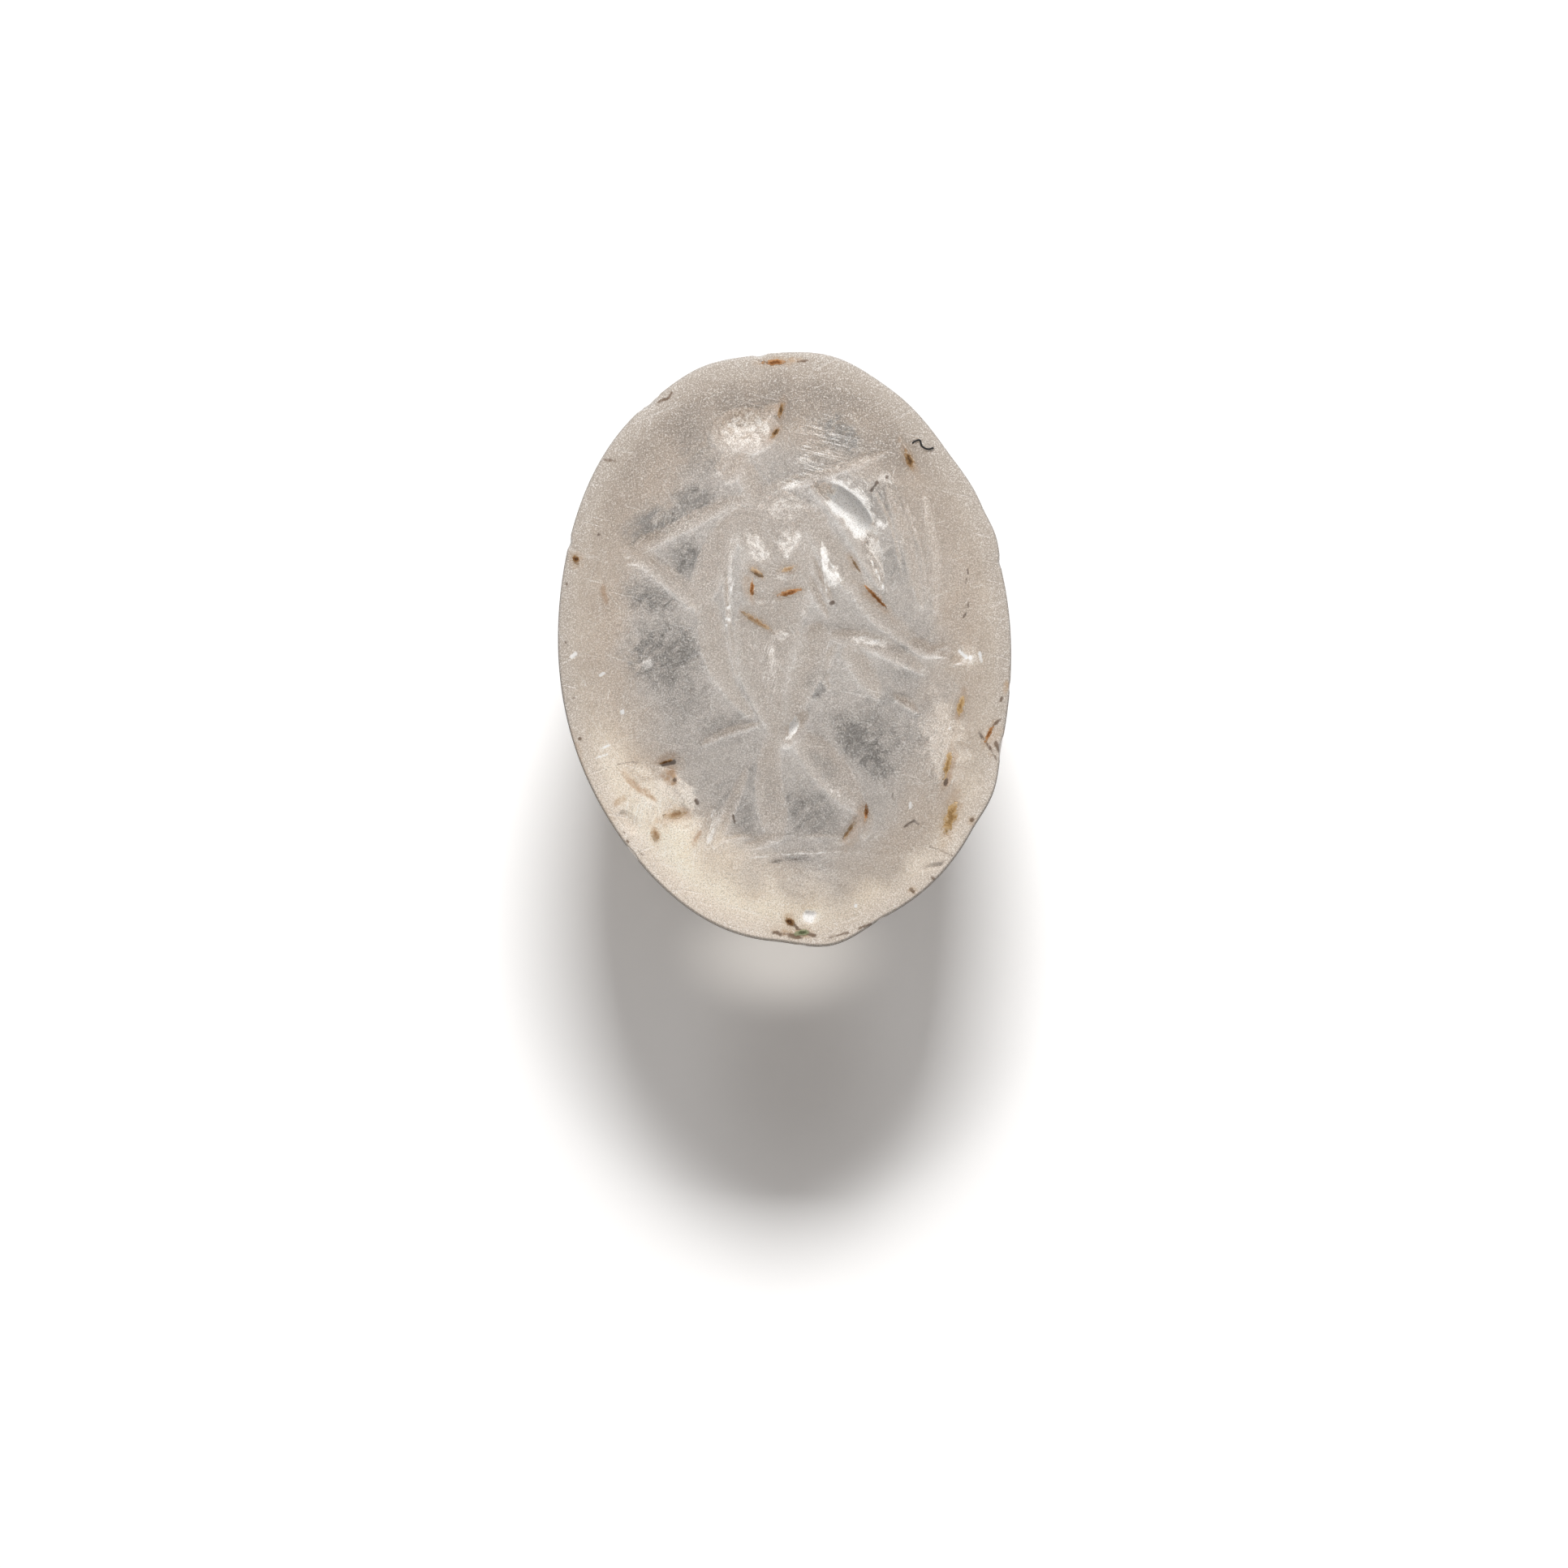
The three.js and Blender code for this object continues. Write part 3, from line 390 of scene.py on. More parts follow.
def turned(x, y, degrees):
    angle = math.radians(degrees)
    return x * math.cos(angle) - y * math.sin(angle), x * math.sin(angle) + y * math.cos(angle)


def oval(angle, inset, share=1.0):
    """x and y on the leaning oval, at one inset from the girdle."""
    reach = share * np.ones_like(angle)
    for count, size, place in GRINDING_WAVES:
        reach = reach + share * size * np.cos(count * angle - math.radians(place))
    for place, half, height in EDGE_SWELLS:
        away = np.abs((np.degrees(angle) - place + 180) % 360 - 180) / half
        reach = reach + share * height / (STONE_LENGTH / 2) * (1 - ease(0, 1, away))
    across = (STONE_WIDTH / 2 - inset) * reach * np.cos(angle)
    along = (STONE_LENGTH / 2 - inset) * reach * np.sin(angle)
    return turned(across, along, STONE_LEAN)


def face_height(x, y):
    across, along = turned(x, y, -STONE_LEAN)
    across = across / (STONE_WIDTH / 2 - FACE_EDGE_RADIUS)
    along = along / (STONE_LENGTH / 2 - FACE_EDGE_RADIUS)
    return FACE_EDGE_HEIGHT + DOME_RISE * np.maximum(0, 1 - across ** 2 - along ** 2)


def bend(start, control, end, steps):
    """Points along a quadratic curve, without its first."""
    share = np.linspace(0, 1, steps + 1)[1:, None]
    start, control, end = np.array(start), np.array(control), np.array(end)
    return (1 - share) ** 2 * start + 2 * share * (1 - share) * control + share ** 2 * end


def wall_profile():
    """Inset and height from the rim of the face, over the girdle and down to the back."""
    foot, girdle = np.array((WALL_INSET, 0.0)), np.array((0.0, GIRDLE_HEIGHT))
    wall = girdle - foot
    start = foot + wall * BACK_EDGE_RADIUS / np.linalg.norm(wall)
    bulge = np.array((-wall[1], wall[0])) / np.linalg.norm(wall) * 2 * WALL_BULGE
    middle = (start + girdle) / 2 + bulge
    band_top = (0.0, GIRDLE_HEIGHT + GIRDLE_BAND)
    return np.concatenate((
        bend((FACE_EDGE_RADIUS, FACE_EDGE_HEIGHT), (0.0, FACE_EDGE_HEIGHT), band_top,
             EDGE_STEPS),
        bend(band_top, (0.0, GIRDLE_HEIGHT + GIRDLE_BAND / 2), girdle, GIRDLE_STEPS),
        bend(girdle, middle, start, WALL_STEPS),
        bend(start, foot, (WALL_INSET + BACK_EDGE_RADIUS, 0.0), FOOT_STEPS),
    ))


def smooth_path(places, steps):
    """A smooth curve through a few places, end to end."""
    points = np.array(places, float)
    points = np.vstack((2 * points[0] - points[1], points, 2 * points[-1] - points[-2]))
    found = []
    for share in np.linspace(0, len(points) - 3 - TINY, steps + 1):
        first = int(share)
        t = share - first
        a, b, c, d = points[first:first + 4]
        found.append(0.5 * (2 * b + (c - a) * t + (2 * a - 5 * b + 4 * c - d) * t ** 2
                            + (3 * b - a - 3 * c + d) * t ** 3))
    return np.array(found)


def off_line(xy, start, end):
    """How far each place is from a straight line, and how far along it the nearest point is."""
    along = np.subtract(end, start)
    share = np.clip(((xy - start) @ along) / max(along @ along, TINY), 0, 1)
    return np.linalg.norm(xy - start - share[:, None] * along, axis=1), share


def stroke_depth(xy, places):
    """How deep one pass of the wheel cuts at each place of the face."""
    path = smooth_path(np.array(places) / 1000, STROKE_STEPS)
    fullness = np.sqrt(1 - np.abs(np.linspace(-1, 1, STROKE_STEPS + 1)) ** STROKE_BLUNTNESS)
    middle = path[:, :2] * FIGURE_HEIGHT
    width = (np.maximum(path[:, 2], LEAST_HALF_WIDTH) * FIGURE_HEIGHT
             * np.maximum(fullness, LEAST_FULLNESS))
    depth = path[:, 3] * ENGRAVING_DEPTH * fullness
    low, high = (middle - width[:, None]).min(0), (middle + width[:, None]).max(0)
    near = np.flatnonzero(((xy > low) & (xy < high)).all(1))
    close, best = xy[near], np.zeros(len(near))
    for step in range(STROKE_STEPS):
        away, share = off_line(close, middle[step], middle[step + 1])
        half = width[step] + share * (width[step + 1] - width[step])
        deep = depth[step] + share * (depth[step + 1] - depth[step])
        best = np.maximum(best, deep * np.maximum(0, 1 - (away / half) ** 2) ** STROKE_FLOOR)
    found = np.zeros(len(xy))
    found[near] = best
    return found


def engraved_depth(xy):
    """How deep the figure is cut at each place of the face's grid, with its edges eased."""
    wander = np.column_stack((cloud(xy, 0.5, 11), cloud(xy, 0.5, 12))) * WHEEL_WANDER
    strokes = BODY_STROKES + FINE_STROKES
    depth = np.max([stroke_depth(xy + wander, places) for places in strokes], axis=0)
    depth *= 1 + DEPTH_WAVER * cloud(xy, 0.25, 13)
    padded = np.pad(depth.reshape(FACE_ROWS + 1, FACE_COLUMNS + 1), 1, mode="edge")
    eased = (4 * padded[1:-1, 1:-1] + padded[:-2, 1:-1] + padded[2:, 1:-1]
             + padded[1:-1, :-2] + padded[1:-1, 2:]) / 8
    return eased.ravel()


def spots(xy, patches, ragged, seed):
    """How strongly soft oval patches with ragged edges cover each place."""
    found = np.zeros(len(xy))
    coarse, fine = SPOT_LUMPS
    edge = ragged * (cloud(xy, coarse, seed) + 0.6 * cloud(xy, fine, seed + 1))
    for x, y, length, width, turn, strength in patches:
        along, across = turned(xy[:, 0] - x, xy[:, 1] - y, -turn)
        away = np.hypot(along / length, across / width)
        found = np.maximum(found, strength * (1 - ease(*SPOT_FADE, away + edge)))
    return found


def beside(xy, marks):
    """How far inside the nearest of these lines each place is, in tenths of a millimetre."""
    found = np.full(len(xy), -LINE_REACH)
    for half, *places in marks:
        for start, end in zip(places, places[1:] + places[-1:]):
            away, _ = off_line(xy, start, end)
            found = np.maximum(found, half + LEAST_LINE - away)
    tenths = 10
    return found * tenths


def pushed_out(points, centre, semi, turn, ripple):
    """Moves the points inside an oval ball out to its skin, as a flake leaves the surface."""
    local = points - centre
    local[:, 0], local[:, 1] = turned(local[:, 0], local[:, 1], -turn)
    away = np.linalg.norm(local / semi, axis=1)
    inside = away < 1
    out = np.linalg.norm(local[inside], axis=1)
    skin = 1 + ripple * np.sin(RIPPLES * out / np.mean(semi))
    not_zero = 0.05
    local[inside] *= (skin / np.maximum(away[inside], not_zero))[:, None]
    local[:, 0], local[:, 1] = turned(local[:, 0], local[:, 1], turn)
    points[inside] = local[inside] + centre


def crust_seat(node):
    """Where a crust lies: its middle, its own axes as rows, and its half sizes."""
    corners = np.array([vertex.co for vertex in node.data.vertices], float) / MM
    middle = (corners.max(0) + corners.min(0)) / 2
    _, _, axes = np.linalg.svd(corners - middle, full_matrices=False)
    if abs(axes[1, 2]) > abs(axes[2, 2]):
        axes[[1, 2]] = axes[[2, 1]]
    if axes[2, 2] < 0:
        axes[2] *= -1
    axes[1] = np.cross(axes[2], axes[0])
    return middle, axes, np.abs((corners - middle) @ axes.T).max(0)


def make_mesh(name, points, faces):
    mesh = bpy.data.meshes.new(name)
    mesh.from_pydata((points * MM).tolist(), [], faces)
    mesh.validate()
    mesh.shade_smooth()
    piece = bpy.data.objects.new(name, mesh)
    bpy.context.scene.collection.objects.link(piece)
    return piece


def store(piece, name, values):
    layer = piece.data.attributes.new(name, "FLOAT", "POINT")
    layer.data.foreach_set("value", np.asarray(values, np.float32))


def round_pairs(count):
    """Each place of a closed ring, with the one after it."""
    return [(near, (near + 1) % count) for near in range(count)]


def face_grid():
    """A grid over an oval: how far out each place is, from 0 to 1, and in which direction."""
    s, t = np.meshgrid(np.linspace(-1, 1, FACE_COLUMNS + 1), np.linspace(-1, 1, FACE_ROWS + 1))
    u, v = s * np.sqrt(1 - t ** 2 / 2), t * np.sqrt(1 - s ** 2 / 2)
    return np.hypot(u, v).ravel(), np.arctan2(v, u).ravel()


def stone_skin(share, angle, xy, depth):
    """Places and faces of the unworn stone: the face, then rings down the wall to the back."""
    z = FACE_EDGE_HEIGHT + DOME_RISE * (1 - share ** 2) - depth + FACE_WAVES * cloud(xy, 0.9, 14)
    grid = np.arange(len(share)).reshape(FACE_ROWS + 1, FACE_COLUMNS + 1)
    rim = np.concatenate((grid[0, :-1], grid[:-1, -1], grid[-1, :0:-1], grid[:0:-1, 0]))
    outlines = [(inset, 1.0, height) for inset, height in wall_profile()]
    outlines += [(WALL_INSET + BACK_EDGE_RADIUS, reach, 0.0) for reach in BACK_SHARES]
    points, rings, total = [np.column_stack((xy, z))], [rim], len(share)
    for inset, reach, height in outlines:
        x, y = oval(angle[rim], inset, reach)
        points.append(np.column_stack((x, y, np.full(len(rim), height))))
        rings.append(np.arange(total, total + len(rim)))
        total += len(rim)
    points.append(np.zeros((1, 3)))

    corners = (grid[:-1, :-1], grid[:-1, 1:], grid[1:, 1:], grid[1:, :-1])
    faces = np.column_stack([corner.ravel() for corner in corners]).tolist()
    pairs = round_pairs(len(rim))
    rings = np.array(rings).tolist()
    for upper, lower in zip(rings, rings[1:]):
        faces += [(upper[after], upper[near], lower[near], lower[after]) for near, after in pairs]
    faces += [(rings[-1][after], rings[-1][near], total) for near, after in pairs]
    return np.vstack(points), faces


def wear_down(points):
    """Presses the wall in here and there, and breaks flakes off the edge and the face."""
    pressed = (points[:, 2] < GIRDLE_HEIGHT - GIRDLE_KEPT) & (points[:, 2] > BACK_KEPT)
    press = sum(deep * (1 + cloud(points, size, seed)) for deep, size, seed in WALL_PRESS)
    points[pressed, :2] *= (1 - np.maximum(0, press[pressed]) / WALL_REACH)[:, None]
    for place, length, bite, height in CHIPS:
        edge_x, edge_y = oval(np.array([math.radians(place)]), 0.0)
        edge = np.array((edge_x[0], edge_y[0], 0.0))
        outward = edge / np.linalg.norm(edge)
        centre = edge + outward * (length / 2 - bite) + (0, 0, GIRDLE_HEIGHT + GIRDLE_BAND)
        semi = np.array((length / 2, length / 2, height))
        pushed_out(points, centre, semi, 0.0, FLAKE_RIPPLE)
    for x, y, length, width, deep, turn in SCARS:
        centre = np.array((x, y, face_height(x, y) + SCAR_LIFT * deep))
        semi = np.array((length, width, (1 + SCAR_LIFT) * deep))
        pushed_out(points, centre, semi, turn, SCAR_RIPPLE)


def seat_crusts(points, seats):
    """Sinks the stone under each crust, and returns the stain that its earth leaves round it."""
    stain = np.zeros(len(points))
    for middle, axes, half in seats.values():
        local = (points - middle) @ axes.T
        away = np.hypot(local[:, 0] / half[0], local[:, 1] / half[1])
        near = np.abs(local[:, 2]) < CRUST_NEAR
        bowl = np.sqrt(np.maximum(0, 1 - (away / SEAT_SHARE) ** 2))
        sink = near * half[2] * CRUST_SINK * bowl
        points -= sink[:, None] * axes[2]
        halo = near * (1 - ease(*STAIN_FADE, away + 0.45 * cloud(points, 0.12, 17)))
        stain = np.maximum(stain, halo * CRUST_STAIN)
    return stain


def painted_rim_glow_and_shade(points):
    """Where the rim is painted with a glow, as of light that crosses the crystal, and where it is
    painted in shade.
    """
    across, along = turned(points[:, 0], points[:, 1], -STONE_LEAN)
    reach = np.hypot(across / (STONE_WIDTH / 2), along / (STONE_LENGTH / 2))
    reach = reach + 0.06 * cloud(points[:, :2], 0.9, 27)
    height = points[:, 1] / (STONE_LENGTH / 2)
    left = ease(-0.5, 0.5, -points[:, 0] / (STONE_WIDTH / 2))
    low = ease(0.8 - 0.24 * left, 0.99 - 0.07 * left, reach)
    # Painted glow: the lower rim is painted lighter, where light that crosses the crystal gathers.
    glow = low * ease(0.06, 0.72, -height) * (0.55 + 0.45 * left)
    # Painted shade: the second share darkens the rim towards its top.
    return glow, ease(0.55, 0.95, reach) * ease(0.0, 0.9, height)


def mark_stone(stone, points, share, xy, depth, stain):
    """Stores where each marking lies, for the finish: some on the face's grid, some all over."""
    top, height = points[:, :2], points[:, 2]
    beyond = np.zeros(len(points) - len(share))
    lower = 0.1 * ease(2.5, 7.0, -xy[:, 1])
    window = 1 - ease(0.6, 0.82, share - lower + 0.05 * cloud(xy, 0.8, 18))
    shoulder = ease(GIRDLE_HEIGHT, FACE_EDGE_HEIGHT, height)
    shoulder[:len(share)] = ease(0.91, 1.0, share)
    # Painted shade: a thin dark line along the outline.
    painted_outline_shade = 1 - ease(FACE_EDGE_HEIGHT - 0.08, FACE_EDGE_HEIGHT - 0.02, height)
    painted_outline_shade[:len(share)] = 0
    wall = ease(GIRDLE_HEIGHT + 0.1, GIRDLE_HEIGHT - 0.4, height)
    glow, dull = painted_rim_glow_and_shade(points)
    marks = {
        "hollow": np.append(depth / ENGRAVING_DEPTH, beyond),
        "window": np.append(window, beyond),
        "face": np.append(1 - ease(0.93, 0.99, share), beyond),
        "clear": spots(top, CLEAR_PATCHES, 0.16, 19),
        "veil": spots(top, VEILS, 0.3, 21),
        "sheen": spots(top, SHEENS, 0.22, 25),
        "shoulder": shoulder, "painted_outline_shade": painted_outline_shade, "wall": wall, "glow": glow, "dull": dull,
        "stain": np.maximum(stain, spots(top, STAINS, 0.3, 41) * (1 - wall)),
        "crack": beside(top, CRACKS) - 5 * wall,
        "fleck": beside(top, FLECKS) - 5 * wall,
    }
    for number, (name, _, patches) in enumerate(HATCHES):
        marks[name] = spots(top, patches, 0.2, 31 + 2 * number)
    for name, values in marks.items():
        store(stone, name, values)


def carve_stone(seats):
    """The stone as one closed mesh, with its markings, and its surface for what lies on it."""
    share, angle = face_grid()
    xy = np.column_stack(oval(angle, FACE_EDGE_RADIUS, share))
    depth = engraved_depth(xy)
    points, faces = stone_skin(share, angle, xy, depth)
    wear_down(points)
    surface = BVHTree.FromPolygons(points.tolist(), faces)
    stain = seat_crusts(points, seats)
    stone = make_mesh("engraved_crystal", points, faces)
    mark_stone(stone, points, share, xy, depth, stain)
    return stone, surface


class Level:
    """A socket's value, on which Python's operators add Math nodes."""

    def __init__(self, finish, socket):
        self.finish = finish
        self.socket = socket

    def math(self, operation, *others):
        inputs = dict(enumerate((self, *others)))
        return self.finish.node("ShaderNodeMath", {"operation": operation}, inputs)

    def __add__(self, other):
        return self.math("ADD", other)

    def __sub__(self, other):
        return self.math("SUBTRACT", other)

    def __rsub__(self, other):
        return self.math("MULTIPLY", -1.0).math("ADD", other)

    def __mul__(self, other):
        return self.math("MULTIPLY", other)

    __radd__ = __add__
    __rmul__ = __mul__

    def between(self, low, high):
        """0 at low, 1 at high, and smooth between."""
        settings = {"interpolation_type": "SMOOTHSTEP"}
        inputs = {"Value": self, "From Min": low, "From Max": high}
        return self.finish.node("ShaderNodeMapRange", settings, inputs)


def strongest(levels):
    """The highest of several levels, none of them below 0."""
    found = 0.0
    for level in levels:
        found = level.math("MAXIMUM", found)
    return found


class Finish:
    """The nodes of one material, or of the world."""

    def __init__(self, owner):
        owner.use_nodes = True
        self.owner = owner
        self.tree = owner.node_tree
        self.tree.nodes.clear()

    def node(self, kind, settings, inputs, output=0):
        """Adds a node: its settings first, then its sockets' values or links."""
        node = self.tree.nodes.new(kind)
        for name, value in settings.items():
            setattr(node, name, value)
        for name, value in inputs.items():
            if isinstance(value, Level):
                self.tree.links.new(value.socket, node.inputs[name])
            else:
                node.inputs[name].default_value = value
        return None if output is None else Level(self, node.outputs[output])

    def layer(self, name):
        return self.node("ShaderNodeAttribute", {"attribute_name": name}, {}, "Fac")

    def grain(self, size, scale=(1.0, 1.0, 1.0), turn=0.0, detail=3.0, rough=0.55):
        """Noise from 0 to 1, with lumps of one size in millimetres, stretched and turned."""
        here = self.node("ShaderNodeTexCoord", {}, {}, "Object")
        places = self.node("ShaderNodeMapping", {"vector_type": "TEXTURE"}, {
            "Vector": here, "Rotation": (0.0, 0.0, turn),
            "Scale": [MM / part for part in scale]})
        return self.node("ShaderNodeTexNoise", {}, {
            "Vector": places, "Scale": 1 / size, "Detail": detail, "Roughness": rough})

    def mixed(self, share, first, second):
        inputs = {0: share, 6: first, 7: second}
        return self.node("ShaderNodeMix", {"data_type": "RGBA"}, inputs, 2)

    def coated(self, color, coats):
        """Lays one tone after another over a colour, each with its own share."""
        for share, tone in coats:
            color = self.mixed(share, color, tone)
        return color

    def bump(self, height, depth, strength=1.0, softness=None):
        """A normal from a height of 0 to 1 that stands for a depth in millimetres."""
        inputs = {"Height": height, "Distance": depth * MM, "Strength": strength}
        if softness is not None:
            inputs["Normal"] = self.levelled(softness)
        return self.node("ShaderNodeBump", {}, inputs, "Normal")

    def levelled(self, share):
        """The surface's normal, drawn towards straight up: light inside the stone evens it out."""
        here = self.node("ShaderNodeNewGeometry", {}, {}, "Normal")
        inputs = {0: share, 4: here, 5: (0.0, 0.0, 1.0)}
        mean = self.node("ShaderNodeMix", {"data_type": "VECTOR"}, inputs, 1)
        return self.node("ShaderNodeVectorMath", {"operation": "NORMALIZE"}, {0: mean})

    def away_from(self, middle, half):
        """How far each place is from the middle of an oval, 1 at its edge, in millimetres."""
        here = self.node("ShaderNodeTexCoord", {}, {}, "Object")
        local = self.node("ShaderNodeMapping", {"vector_type": "TEXTURE"}, {
            "Vector": here, "Location": [part * MM for part in middle],
            "Scale": [part * MM for part in half]})
        return self.node("ShaderNodeVectorMath", {"operation": "LENGTH"}, {0: local}, "Value")

    def shader(self, inputs):
        return self.node("ShaderNodeBsdfPrincipled", {}, inputs)

    def shaders(self, share, first, second):
        return self.node("ShaderNodeMixShader", {}, {0: share, 1: first, 2: second})

    def ended(self, shader, end="ShaderNodeOutputMaterial"):
        self.node(end, {}, {"Surface": shader}, None)
        return self.owner


def srgb(red, green, blue):
    """A colour as it looks on a screen, 0 to 255, as the colour that a node takes."""
    def plain(level):
        level /= 255
        return level / 12.92 if level <= 0.04045 else ((level + 0.055) / 1.055) ** 2.4
    return (plain(red), plain(green), plain(blue), 1.0)


# Tones of the crystal, from its milky rim to its clear depths and its bright cuts.
# Several are painted light: glow, shade, the shade seen through clear crystal, and highlights.
MILK, MILK_PALE = srgb(194, 178, 161), srgb(206, 190, 173)
PAINTED_EDGE_SHADE, PAINTED_EDGE_GLOW = srgb(171, 158, 145), srgb(216, 200, 183)
GREY, GREY_PALE = srgb(186, 180, 174), srgb(210, 203, 196)
PAINTED_TOP_SHADE = srgb(140, 129, 118)
PAINTED_DEEP_SHADE = srgb(104, 96, 88)
SHADE_SEEN_THROUGH_AND_GRAIN = srgb(152, 146, 139)
FROST = srgb(198, 187, 176)
VEIL = srgb(246, 237, 226)
PAINTED_GLOW = srgb(255, 236, 212)
SHEEN = srgb(255, 253, 250)
EARTH_TINT = srgb(172, 136, 94)
CRACK_BROWN = srgb(88, 62, 36)

# Quartz: how much of it is clouded, its tint and gloss, and how far light goes in the milk.
CLOUDING = 0.75
QUARTZ_TINT = srgb(238, 232, 226)
QUARTZ_IOR = 1.544
MILK_DEPTH = 4.5
ROUGHNESS = 0.42

# Each kind of earth: its material's name, how ragged it is, and its tones from the core out.
EARTHS = {
    "earth_brown": ("brown_earth", 2.2, (122, 78, 44), (166, 116, 74), (196, 160, 122)),
    "earth_dark": ("dark_earth", 1.6, (74, 48, 28), (118, 82, 50), (182, 154, 118)),
    "earth_ochre": ("ochre_earth", 2.2, (146, 114, 72), (182, 150, 106), (210, 186, 150)),
    "earth_film": ("earth_film", 2.6, (156, 124, 92), (178, 152, 122), (204, 184, 160)),
    "umber": ("umber_earth", 1.9, (84, 60, 38), (132, 102, 68), (184, 158, 128)),
    "copper_green": ("copper_salts", 1.8, (92, 98, 70), (136, 142, 110), (190, 186, 154)),
}


def wheel_lines(finish):
    """The wheel's fine close lines: their frosted ridges, also painted bright as highlights, and
    the grooves between them, painted darker.
    """
    lines, grooves = [], []
    for name, turn, _ in HATCHES:
        turn = math.radians(turn)
        place = finish.layer(name)
        fine = finish.grain(0.3, (0.3, 7.0, 1.0), turn, 3.0, 0.7)
        broken = finish.grain(0.14, (0.5, 1.6, 1.0), turn, 4.0, 0.7).between(0.35, 0.6)
        lines.append(place * fine.between(0.5, 0.62) * broken)
        grooves.append(place * fine.between(0.5, 0.38))
    return strongest(lines), strongest(grooves)


def crystal_finish():
    """Old rock crystal: clear quartz mixed with milky clouding, veils and frosted cuts, and painted
    light and shade.
    """
    finish = Finish(bpy.data.materials.new("clouded_rock_crystal"))
    hollow, window, clear, veil, sheen, face, shoulder = (finish.layer(name) for name in (
        "hollow", "window", "clear", "veil", "sheen", "face", "shoulder"))
    glow, dull, stain, crack, fleck, painted_outline_shade, wall = (finish.layer(name) for name in (
        "glow", "dull", "stain", "crack", "fleck", "painted_outline_shade", "wall"))
    wisps = finish.grain(0.9, (1.0, 1.6, 1.0), 0.5, 4.0, 0.6)
    mottle = finish.grain(0.16, detail=5.0, rough=0.7)
    streaks = finish.grain(0.28, (0.8, 1.4, 1.0), 0.7, 8.0, 0.75)
    speckle = finish.grain(0.034, detail=2.0, rough=0.8)
    pepper = finish.grain(0.11, detail=4.0, rough=0.75).between(0.5, 0.62)
    frost = hollow.between(0.02, 0.16)
    patch = (clear * 0.3 + clear * streaks.between(0.42, 0.58) * 0.8) * (1 - frost * 0.75)
    white = (sheen + (mottle - 0.5) * 1.1).between(0.2, 0.85) * sheen.between(0.02, 0.2)
    cloudy = (veil + (mottle - 0.5) * veil).between(0.1, 1.1)
    lip = hollow.between(0.02, 0.1) * hollow.between(0.32, 0.14) * pepper
    scratches = strongest([
        finish.grain(size, (0.3, 5.5, 1.0), turn, 1.0, 0.5).between(0.67, 0.75)
        for turn, size in ((0.4, 0.5), (1.3, 0.42), (2.2, 0.6), (2.9, 0.5))])
    lines, grooves = wheel_lines(finish)
    grit = 0.6 - wall * 0.45
    ragged = (mottle - 0.5) * 1.2

    body = finish.coated(finish.mixed(wisps.between(0.3, 0.7), MILK, MILK_PALE), (
        (window * 0.85, finish.mixed(mottle.between(0.35, 0.65), GREY, GREY_PALE)),
        # Painted shade on the rim towards its top.
        (dull * 0.92, PAINTED_TOP_SHADE),
        (frost * (0.55 + mottle.between(0.35, 0.6) * 0.3), FROST),
        # Painted shade: clear patches are painted dark, with darker pepper, for the shade seen
        # through them.
        (patch, SHADE_SEEN_THROUGH_AND_GRAIN),
        (patch * pepper * 0.8, PAINTED_DEEP_SHADE),
        (lip * 0.4, SHEEN),
        (cloudy * 0.7, VEIL),
        # Painted glow at the lower rim.
        (glow * 0.9, PAINTED_GLOW),
        # Painted highlights over the cuts, and white bruises.
        (white, SHEEN),
        # Painted shade and glow on the rounded edge: darker towards the top, paler where it glows.
        (shoulder * 0.85, finish.mixed(glow, PAINTED_EDGE_SHADE, PAINTED_EDGE_GLOW)),
        # Painted shade along the outline.
        (painted_outline_shade * 0.7, PAINTED_DEEP_SHADE),
        (scratches * (0.12 - wall * 0.1), SHEEN),
        # Painted light and shade on the wheel's lines: grooves painted darker, ridges painted as
        # highlights.
        (grooves * (0.5 - white * 0.4), SHADE_SEEN_THROUGH_AND_GRAIN),
        (lines, SHEEN),
        (speckle.between(0.48, 0.66) * grit, SHEEN),
        (speckle.between(0.52, 0.34) * grit, SHADE_SEEN_THROUGH_AND_GRAIN),
        ((fleck + ragged).between(-0.2, 0.2) * 0.9, SHEEN),
        (stain * mottle.between(0.25, 0.6), EARTH_TINT),
        ((crack + ragged * 0.7).between(-0.2, 0.25) * 0.85, CRACK_BROWN),
    ))

    relief = (mottle * 0.5 + speckle * 0.25 + scratches * -0.35 + lines * 0.5) * (1 - wall * 0.7)
    softness = face * (0.3 + frost * 0.3 + white * 0.3) + shoulder * 0.8
    normal = finish.bump(relief, 0.012, softness=softness)
    rough = ROUGHNESS + white * -0.08 + (mottle - 0.5) * 0.3 - wall * 0.24
    clouding = (CLOUDING + glow * 0.3 + cloudy * 0.3 + (white + lines) * 0.3
                + frost * 0.1 - patch * 0.1 - wall * 0.3)
    quartz = finish.shader({
        "Base Color": QUARTZ_TINT, "Roughness": rough - 0.06, "IOR": QUARTZ_IOR,
        "Transmission Weight": 1.0, "Normal": normal})
    skin = {"Base Color": body, "Roughness": rough, "IOR": QUARTZ_IOR, "Normal": normal}
    milk = finish.shader({
        **skin, "Subsurface Weight": 1.0, "Subsurface Radius": (1.0, 0.96, 0.92),
        "Subsurface Scale": MILK_DEPTH * MM})
    stone = finish.shaders(clouding.math("MINIMUM", 1.0), quartz, milk)
    # Painted highlights, the wheel lines' ridges and the painted edge band take a plain diffuse
    # finish.
    bright = (white + lines * 0.6 + shoulder * 1.2).math("MINIMUM", 1.0) * 0.75
    return finish.ended(finish.shaders(bright, stone, finish.shader(skin)))


